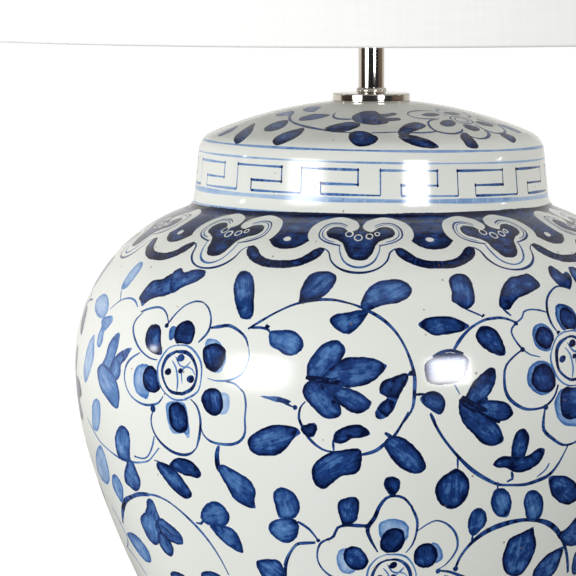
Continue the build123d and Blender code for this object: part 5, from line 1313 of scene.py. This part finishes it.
def painted_mesh(skin, brush, jar):
    """The jar's closed mesh: the painted skin, cut along every stroke, and the plain inside."""
    columns = 180
    turns = np.linspace(-180, 180, columns + 1)
    rows = [*np.linspace(skin.low, skin.run[1], 5), *np.linspace(0.0, 238.0, 70),
            *np.linspace(241.0, skin.top, 36)]
    points, edges, faces, owner = [], [], [], []
    for run in rows:
        for turn in turns:
            points.append((turn * SQUARE, run))
    wide = columns + 1
    last = (len(rows) - 1) * wide
    border = [(i, i + 1) for i in range(columns)] + [(last + i, last + i + 1) for i in range(columns)]
    border += [(i * wide + e, (i + 1) * wide + e) for i in range(len(rows) - 1) for e in (0, columns)]
    edges.extend(border)
    bore = [math.tau * k / 24 for k in range(24)]
    foot_in = (jar.foot_radius - jar.foot_wall) / MM
    hole, hole_radius, hole_level = (v / MM for v in (jar.cord_hole, jar.foot_radius, jar.cord_level))
    sweep = lambda radius: [math.degrees(math.asin(hole * math.cos(a) / radius)) for a in bore]
    rise = [hole * math.sin(a) for a in bore]
    hole_run = skin.low + hole_level - jar.felt / MM
    cord = [(180 + t, hole_run + r) for t, r in zip(sweep(hole_radius), rise)]
    strokes = brush.strokes + [(cord, None, None, 0.0, SQUARE)]
    for index, (outline, tone, flow, seed, square) in enumerate(strokes):
        spread = [t for t, r in outline]
        for shift in (-360, 0, 360):
            if max(spread) + shift < -180 or min(spread) + shift > 180:
                continue
            start = len(points)
            points.extend(((t + shift) * SQUARE, min(r, skin.top - 0.5)) for t, r in outline)
            faces.append(list(range(start, len(points))))
            owner.append((index, shift))
    flat, _, triangles, _, _, covering = delaunay_2d_cdt(
        [Vector(p) for p in points], edges, faces, 0, 1e-4
    )
    place = np.array([(p.x, p.y) for p in flat])
    middle = np.array([place[list(t)].mean(0) for t in triangles])
    limit = 180 * SQUARE
    cut = {i for i, over in enumerate(owner) if over[0] == len(brush.strokes)}
    kept = [i for i, m in enumerate(middle) if abs(m[0]) < limit and not cut & set(covering[i])]
    corner_paint, corner_brush = np.zeros((len(kept), 3, 3)), np.zeros((len(kept), 3, 3))
    shown = {}
    for row, i in enumerate(kept):
        if covering[i]:
            shown.setdefault(max(covering[i]), []).append(row)
    kept_triangles = np.array([triangles[i] for i in kept])
    for face, members in shown.items():
        index, shift = owner[face]
        outline, tone, (start, heading), seed, square = brush.strokes[index]
        if tone == 0.0:
            continue
        ring = np.array([((t + shift) * square, r) for t, r in outline])
        used, back = np.unique(kept_triangles[members], return_inverse=True)
        spot = place[used] * (square / SQUARE, 1.0)
        edge = distance_to(spot, ring)
        way = math.radians(heading)
        gap = spot - ((start[0] + shift) * square, start[1])
        along = gap @ (math.cos(way), math.sin(way))
        across = gap @ (-math.sin(way), math.cos(way))
        back = back.reshape(-1, 3)
        corner_paint[members, :, 0] = tone
        corner_paint[members, :, 1] = edge[back]
        corner_brush[members, :, 0] = across[back] * ACROSS
        corner_brush[members, :, 1] = along[back] * ALONG
        corner_brush[members, :, 2] = seed
    outer, normals = skin.at(place[:, 0] / SQUARE, place[:, 1])
    land = outer[:, 2].max() / MM
    recess = (jar.felt + jar.foot_height) / MM
    floor_top = recess + jar.floor / MM
    inner = [p for p in skin.inside(jar.wall / MM) if p[1] > floor_top]
    inside = [(PIPE_HOLE, land), (PIPE_HOLE, inner[0][1]), *inner, (inner[-1][0], floor_top),
              (PIPE_HOLE, floor_top), (PIPE_HOLE, recess), (foot_in, recess), (foot_in, jar.felt / MM)]
    build = bmesh.new()
    paint_layer = build.loops.layers.float_vector.new("paint")
    brush_layer = build.loops.layers.float_vector.new("brush")
    way_layer = build.loops.layers.float_vector.new("way")
    uv = build.loops.layers.uv.new("OFBake")
    corners = [build.verts.new(p) for p in outer]
    used = set(kept_triangles.ravel().tolist())
    low, tall = 0.16, 0.84  # the painted skin's share of the map, above the plain inside
    for row, triangle in enumerate(kept_triangles):
        face = build.faces.new([corners[i] for i in triangle])
        face.smooth = True
        for k, loop in enumerate(face.loops):
            loop[paint_layer], loop[brush_layer] = corner_paint[row, k], corner_brush[row, k]
            loop[way_layer] = normals[triangle[k]]
            x, y = place[triangle[k]]
            loop[uv].uv = (x / (2 * limit) + 0.5, low + tall * (y - skin.low) / (skin.top - skin.low))
    top_row = sorted((i for i in used if abs(place[i][1] - skin.top) < 1e-3), key=lambda i: place[i][0])
    low_row = sorted((i for i in used if abs(place[i][1] - skin.low) < 1e-3), key=lambda i: place[i][0])
    turns = np.radians([place[i][0] / SQUARE for i in top_row])
    rings = [[corners[i] for i in top_row]]
    for r, z in inside:
        rings.append([
            build.verts.new((r * MM * math.sin(a), -r * MM * math.cos(a), z * MM)) for a in turns
        ])
    rings.append([corners[i] for i in low_row])
    for level, (above, below) in enumerate(zip(rings, rings[1:])):
        v = low * 0.98 * (1 - np.array([level, level + 1]) / (len(rings) - 1))
        beside_cord = (0, 1, len(turns) - 3, len(turns) - 2) if level == len(rings) - 3 else ()
        for k in range(len(turns) - 1):
            if k in beside_cord:
                continue
            u = (k / columns, (k + 1) / columns)
            face = build.faces.new((above[k], above[k + 1], below[k + 1], below[k]))
            face.smooth = True
            for loop, place_uv in zip(face.loops, ((u[0], v[0]), (u[1], v[0]), (u[1], v[1]), (u[0], v[1]))):
                loop[uv].uv = place_uv
    bore_cord(build, foot_in, recess, jar.felt / MM, sweep(foot_in), [hole_level + r for r in rise],
              skin.at(*np.array(cord).T)[0])
    loose = [v for v in build.verts if not v.link_faces]
    bmesh.ops.delete(build, geom=loose, context="VERTS")
    bmesh.ops.remove_doubles(build, verts=build.verts, dist=1e-5)
    bmesh.ops.recalc_face_normals(build, faces=build.faces)
    mesh = bpy.data.meshes.new("jar")
    build.to_mesh(mesh)
    build.free()
    mesh.set_sharp_from_angle(angle=SHARP)
    ways = np.zeros(len(mesh.loops) * 3)
    mesh.attributes["way"].data.foreach_get("vector", ways)
    mesh.normals_split_custom_set(ways.reshape(-1, 3).tolist())
    mesh.attributes.remove(mesh.attributes["way"])
    return mesh


def bore_cord(build, radius, high, low, turns, levels, outer):
    """Cuts the cord's hole in the foot ring's inner face and joins it to the rim of the hole outside."""
    columns = [176, 178, 180, 182, 184]
    frame_points = [(t, low) for t in columns] + [(t, high) for t in columns[::-1]]
    ring = [(180 + t, z) for t, z in zip(turns, levels)]
    flat = [Vector(p) for p in frame_points + ring]
    count = len(frame_points)
    edges = [(i, (i + 1) % count) for i in range(count)]
    edges += [(count + i, count + (i + 1) % len(ring)) for i in range(len(ring))]
    flat, _, triangles, _, _, _ = delaunay_2d_cdt(flat, edges, [], 1, 1e-5)
    spots = []
    for t, z in flat:
        a = math.radians(t)
        spots.append(build.verts.new((radius * MM * math.sin(a), -radius * MM * math.cos(a), z * MM)))
    middle = Vector((180, sum(levels) / len(levels)))
    reach = Vector((max(turns), max(levels) - middle.y))
    for triangle in triangles:
        centre = sum((flat[i] for i in triangle), Vector((0, 0))) / 3 - middle
        if (centre.x / reach.x) ** 2 + (centre.y / reach.y) ** 2 > 0.98:
            build.faces.new([spots[i] for i in triangle])
    rim_in = []
    for t, z in ring:
        a = math.radians(t)
        rim_in.append(build.verts.new((radius * MM * math.sin(a), -radius * MM * math.cos(a), z * MM)))
    rim_out = [build.verts.new(p) for p in outer]
    for k in range(len(ring)):
        n = (k + 1) % len(ring)
        build.faces.new((rim_out[k], rim_out[n], rim_in[n], rim_in[k])).smooth = True


def distance_to(spots, ring):
    """How far each spot is from a closed outline."""
    start, end = ring, np.roll(ring, -1, axis=0)
    way = end - start
    size = np.maximum((way ** 2).sum(1), 1e-12)
    share = np.clip(((spots[:, None] - start[None]) * way[None]).sum(2) / size[None], 0, 1)
    near = start[None] + share[..., None] * way[None]
    return np.sqrt(((spots[:, None] - near) ** 2).sum(2)).min(1)


class LAMP_OT_neck(Operator):
    """Turn the polished plate, bead and tube of the neck"""

    bl_idname = "lamp.neck"
    bl_label = "Neck"

    def execute(self, context):
        metal = context.scene.lamp_metal
        nickel = polished_nickel(metal)
        tube_hole, tube_wall, tube_edge = 6.4, 0.8, 0.2
        low, high = (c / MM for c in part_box("neck_plate"))
        edge = metal.plate_edge / MM
        plate = turned("plate", [(PIPE_HOLE, low.z), (high.x, low.z, edge), (high.x, high.z, edge),
                                 (PIPE_HOLE, high.z)])
        dress(plate, nickel, "base", "polished_nickel", "neck_plate")
        low, high = (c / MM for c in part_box("neck_bead"))
        half_round = (high.z - low.z) / 2 * 0.99
        bead = turned("bead", [(tube_hole, low.z), (high.x, low.z, half_round),
                               (high.x, high.z, half_round), (tube_hole, high.z)], rounds=10)
        dress(bead, nickel, "base", "polished_nickel", "neck_bead")
        low, high = (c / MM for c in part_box("neck_tube"))
        tube = turned("tube", [(high.x - tube_wall, low.z), (high.x, low.z, tube_edge),
                               (high.x, high.z, tube_edge), (high.x - tube_wall, high.z)])
        dress(tube, nickel, "base", "polished_nickel", "neck_tube")
        return {"FINISHED"}


class LAMP_OT_harp(Operator):
    """Bend the harp's wire bow"""

    bl_idname = "lamp.harp"
    bl_label = "Harp"

    def execute(self, context):
        metal = context.scene.lamp_metal
        satin = satin_nickel(metal)
        low, high = (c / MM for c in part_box("harp"))
        wire_radius = 2.2
        leg, flare, crown = 32.45, 57.0, 20.0  # how far out the wire runs at each of its stretches
        foot, crown_level = low.z, high.z - wire_radius
        side = [(leg, 0, foot), (leg, 0, foot + 37.0, 24), (flare, 0, foot + 71.0, 24),
                (flare, 0, crown_level - 62.0, 52), (crown, 0, crown_level, 26)]
        path = bent([(-x, y, z, *bend) for x, y, z, *bend in side] + side[::-1])
        harp = wire("harp_bow", path, wire_radius, around=6)
        dress(harp, satin, "base", "satin_nickel", "harp")
        return {"FINISHED"}


class LAMP_OT_shade(Operator):
    """Make the fabric drum with its turned hems, and finish its lining, hoops and fitter"""

    bl_idname = "lamp.shade"
    bl_label = "Drum shade"

    def execute(self, context):
        shade = context.scene.lamp_shade
        low, high = (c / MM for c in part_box("shade_fabric"))
        outer_low = high.x
        outer_high = outer_low - 25.4  # the upper hoop is two inches less across
        slope = (outer_low - outer_high) / (high.z - low.z)
        skin, roll = 0.8, 3.4  # the fabric's thickness, and what the hem turns in round its wire
        lip = shade.hem / MM
        at = lambda z: outer_low - slope * (z - low.z)
        corners = [
            (at(low.z) - skin - roll, low.z + lip), (at(low.z) - skin - roll - 0.6, low.z + lip),
            (at(low.z) - skin - roll, low.z, 1.2), (at(low.z), low.z, 1.2), (at(high.z), high.z, 1.2),
            (at(high.z) - skin - roll - 0.6, high.z, 1.2), (at(high.z) - skin - roll, high.z - lip),
            (at(high.z - lip) - skin, high.z - lip - 0.5), (at(low.z + lip) - skin, low.z + lip + 0.5),
        ]
        drum = turned("drum", corners, steps=240, rounds=4)
        tall, round_about = (high.z - low.z) * MM, math.tau * outer_low * MM
        dress(drum, woven_linen(shade, round_about, tall), "shade", "linen", "shade_fabric")
        unroll_drum(drum, low.z * MM, tall)
        finish_nodes(styrene(shade), "shade_liner")
        finish_nodes(lacquered_wire(shade), "bottom_hoop", "top_hoop", "spider_arm_rear",
                     "spider_arm_left", "spider_arm_right", "spider_hub")
        return {"FINISHED"}


def unroll_drum(piece, low, tall):
    """Lays the drum's faces out flat: turns across and heights up, the inside beside the outside."""
    mesh = piece.data
    uv = mesh.uv_layers.new(name="OFBake")
    for face in mesh.polygons:
        centre = math.atan2(face.center.y, face.center.x)
        inward = face.normal.x * math.cos(centre) + face.normal.y * math.sin(centre) < -0.2
        for loop in face.loop_indices:
            p = mesh.vertices[mesh.loops[loop].vertex_index].co
            turn = math.atan2(p.y, p.x)
            turn += math.tau * round((centre - turn) / math.tau)
            v = (p.z - low) / tall
            uv.data[loop].uv = (turn / math.tau + 0.5, v * 0.45 + (0.5 if inward else 0.02))


class LAMP_OT_lampholder(Operator):
    """Finish the lampholder, its switch and the bulb"""

    bl_idname = "lamp.lampholder"
    bl_label = "Lampholder and bulb"

    def execute(self, context):
        metal = context.scene.lamp_metal
        finish_nodes(socket_nickel(metal), "socket_cap", "socket_shell", "socket_set_screw")
        finish_nodes(moulded("fibre_paper", (0.28, 0.2, 0.11), 0.8), "socket_liner")
        finish_nodes(moulded("phenolic", (0.02, 0.02, 0.02), 0.35), "socket_core", "switch_knob")
        finish_nodes(brass(metal), "screw_shell", "centre_contact", "terminal_screws", "switch_shaft")
        finish_nodes(bulb_aluminium(), "bulb_base")
        finish_nodes(frosted_glass(), "bulb_glass")
        return {"FINISHED"}


class LAMP_OT_fittings(Operator):
    """Finish the hidden fittings that clamp the lamp together"""

    bl_idname = "lamp.fittings"
    bl_label = "Fittings"

    def execute(self, context):
        metal = context.scene.lamp_metal
        finish_nodes(zinc_steel(metal), "lamp_pipe", "foot_steel_washer", "foot_spring_washer",
                     "foot_nut", "saddle_locknut")
        finish_nodes(satin_nickel(metal), "harp_saddle", "harp_stud", "harp_ferrule_left",
                     "harp_ferrule_right")
        finish_nodes(polished_nickel(metal), "finial")
        finish_nodes(pressed_felt((0.05, 0.05, 0.055)), "base_felt")
        finish_nodes(moulded("rubber", (0.03, 0.03, 0.03), 0.7), "cord_grommet", "foot_rubber_cushion")
        finish_nodes(moulded("clear_gasket", (0.6, 0.6, 0.57), 0.4), "neck_gasket")
        return {"FINISHED"}


class LAMP_OT_stage(Operator):
    """Set up the floor, the studio light and the camera"""

    bl_idname = "lamp.stage"
    bl_label = "Stage"

    def execute(self, context):
        stage = context.scene.lamp_stage
        select_only()
        bpy.ops.mesh.primitive_plane_add(size=1.0, location=(0, 0, -0.0005))
        floor = bpy.context.object
        floor.name = "floor"
        side = 14.0
        floor.data.transform(Matrix.Diagonal((side, side, 1.0, 1.0)))
        finish = Finish("pale_floor", Roughness=0.9, Specular_IOR_Level=0.1, Emission_Strength=0.4)
        grain = finish.noise(finish.place(), 40.0, 3.0)
        finish.set("Base Color", finish.mix(grain, (0.93, 0.93, 0.93), (0.91, 0.91, 0.91)))
        finish.set("Emission Color", (1.0, 1.0, 1.0))
        floor.data.materials.append(finish.material)
        floor.visible_diffuse = floor.visible_glossy = False
        camera = bpy.data.cameras.new("camera")
        camera.lens, camera.sensor_width = stage.lens, 36.0
        camera.clip_end = 50.0
        viewer = bpy.data.objects.new("camera", camera)
        bpy.context.scene.collection.objects.link(viewer)
        place, aim = Vector(stage.camera_place), Vector(stage.camera_aim)
        viewer.location = place
        viewer.rotation_euler = (aim - place).to_track_quat("-Z", "Y").to_euler()
        context.scene.camera = viewer
        for name, azimuth, elevation, width, height, radiance, even in (
            ("left_box", -43.5, 4, 1.3, 1.05, stage.box_radiance * 0.75, 0.25),
            ("right_box", 28.0, 6.0, 0.7, 0.74, stage.box_radiance * 1.4, 0.6),
            ("left_strip", -92, 9, 0.16, 0.12, 22.0, 0.5),
            ("right_strip", 92, 9, 0.2, 0.12, 22.0, 0.5),
        ):
            self.soft_box(name, azimuth, elevation, width, height, radiance, even)
        self.light_world(context.scene)
        context.scene.view_settings.view_transform = "Standard"
        return {"FINISHED"}

    def soft_box(self, name, azimuth, elevation, width, height, radiance, even, distance=2.2):
        """A soft box that only shows in reflections, because the room itself lights the lamp evenly.
        It is bright over that share of its half width and fades out to its edges."""
        light = bpy.data.lights.new(name, "AREA")
        light.shape, light.size, light.size_y = "RECTANGLE", width, height
        light.energy = radiance * math.pi * width * height
        box = bpy.data.objects.new(name, light)
        bpy.context.scene.collection.objects.link(box)
        a, e = math.radians(azimuth), math.radians(elevation)
        way = Vector((math.sin(a) * math.cos(e), -math.cos(a) * math.cos(e), math.sin(e)))
        box.location = Vector((0, 0, 0.16)) + way * distance
        box.rotation_euler = (-way).to_track_quat("-Z", "Y").to_euler()
        box.visible_diffuse = False
        light.use_nodes = True
        glow = Finish.over(light.node_tree)
        where = glow.node("ShaderNodeNewGeometry").outputs["Position"]
        side = Vector((-way.y, way.x, 0)).normalized()
        fade = None
        for axis, half in ((side, width / 2), (way.cross(side), height / 2)):
            gap = glow.node(
                "ShaderNodeVectorMath", {"operation": "SUBTRACT"}, {0: where, 1: box.location}
            ).outputs[0]
            reach = glow.node("ShaderNodeVectorMath", {"operation": "DOT_PRODUCT"}, {0: gap, 1: axis})
            off = Value(glow, reach.outputs["Value"]).maths("ABSOLUTE") / half
            part = 1.0 - off.step(even, 1.02)
            fade = part if fade is None else fade * part
        lamp = glow.node("ShaderNodeEmission", {}, {"Strength": fade})
        glow.feed(glow.node("ShaderNodeOutputLight").inputs["Surface"], lamp.outputs["Emission"])

    def light_world(self, scene):
        """A white room, brighter on the left. Reflections see it white behind and dark in front."""
        world = bpy.data.worlds.new("studio")
        world.use_nodes = True
        scene.world = world
        room = Finish.over(world.node_tree)
        way = room.node("ShaderNodeTexCoord").outputs["Generated"]
        parts = room.node("ShaderNodeSeparateXYZ", {}, {"Vector": way})
        x, y, z = (Value(room, parts.outputs[a]) for a in "XYZ")
        level = 1.0 - (z.maths("ABSOLUTE") / 0.65).clamped()
        soft = 0.31 - x * 0.48 - y * 0.12 + level * 1.64 + z * 0.27
        azimuth = x.maths("ARCTAN2", y * -1.0) / math.tau + 0.5
        shine = room.node(
            "ShaderNodeValToRGB",
            {"stops": [
                (0.0, (0.9, 0.88, 0.84)), (0.2, (0.8, 0.76, 0.7)), (0.23, (0.07, 0.045, 0.03)),
                (0.33, (0.05, 0.035, 0.03)), (0.45, (0.03, 0.03, 0.035)), (0.66, (0.03, 0.03, 0.03)),
                (0.7, (0.16, 0.11, 0.09)), (0.79, (0.2, 0.15, 0.12)), (0.83, (0.6, 0.56, 0.5)),
                (1.0, (0.9, 0.88, 0.84)),
            ]},
            {"Fac": azimuth},
        ).outputs["Color"]
        rays = room.node("ShaderNodeLightPath")
        seen = Value(room, rays.outputs["Is Camera Ray"])
        glossy = Value(room, rays.outputs["Is Glossy Ray"])
        around = z.step(-0.3, -0.05) * (1.0 - z.step(0.35, 0.6)) * 0.85 + 0.15
        strength = soft * (1.0 - glossy) + around * glossy
        strength = strength * (1.0 - seen) + seen
        light = room.node(
            "ShaderNodeBackground", {},
            {"Color": room.mix(glossy, (1.0, 1.0, 1.0), shine), "Strength": strength},
        )
        output = room.node("ShaderNodeOutputWorld")
        room.feed(output.inputs["Surface"], light.outputs["Background"])


class LAMP_PT_panel(Panel):
    """Lists the lamp's steps and settings"""

    bl_idname = "LAMP_PT_panel"
    bl_label = "Ginger jar lamp"
    bl_space_type = "VIEW_3D"
    bl_region_type = "UI"
    bl_category = "Lamp"

    def draw(self, context):
        for step in STEPS:
            self.layout.operator(step.bl_idname)
        for name, group in SETTINGS.items():
            box = self.layout.box()
            box.label(text=name.replace("_", " "))
            for setting in group.__annotations__:
                box.prop(getattr(context.scene, name), setting)


SETTINGS = {
    "lamp_jar": JarSettings,
    "lamp_metal": MetalSettings,
    "lamp_shade": ShadeSettings,
    "lamp_stage": StageSettings,
}
STEPS = [
    LAMP_OT_stage, LAMP_OT_jar, LAMP_OT_neck, LAMP_OT_harp, LAMP_OT_shade, LAMP_OT_lampholder,
    LAMP_OT_fittings,
]
CLASSES = [*SETTINGS.values(), *STEPS, LAMP_PT_panel]


def register():
    for each in CLASSES:
        bpy.utils.register_class(each)
    for name, group in SETTINGS.items():
        setattr(bpy.types.Scene, name, PointerProperty(type=group))


def unregister():
    for name in SETTINGS:
        delattr(bpy.types.Scene, name)
    for each in reversed(CLASSES):
        bpy.utils.unregister_class(each)


def main():
    register()
    bpy.ops.lamp.stage()
    bpy.ops.lamp.jar()
    bpy.ops.lamp.neck()
    bpy.ops.lamp.harp()
    bpy.ops.lamp.shade()
    bpy.ops.lamp.lampholder()
    bpy.ops.lamp.fittings()


if __name__ == "__main__":
    main()
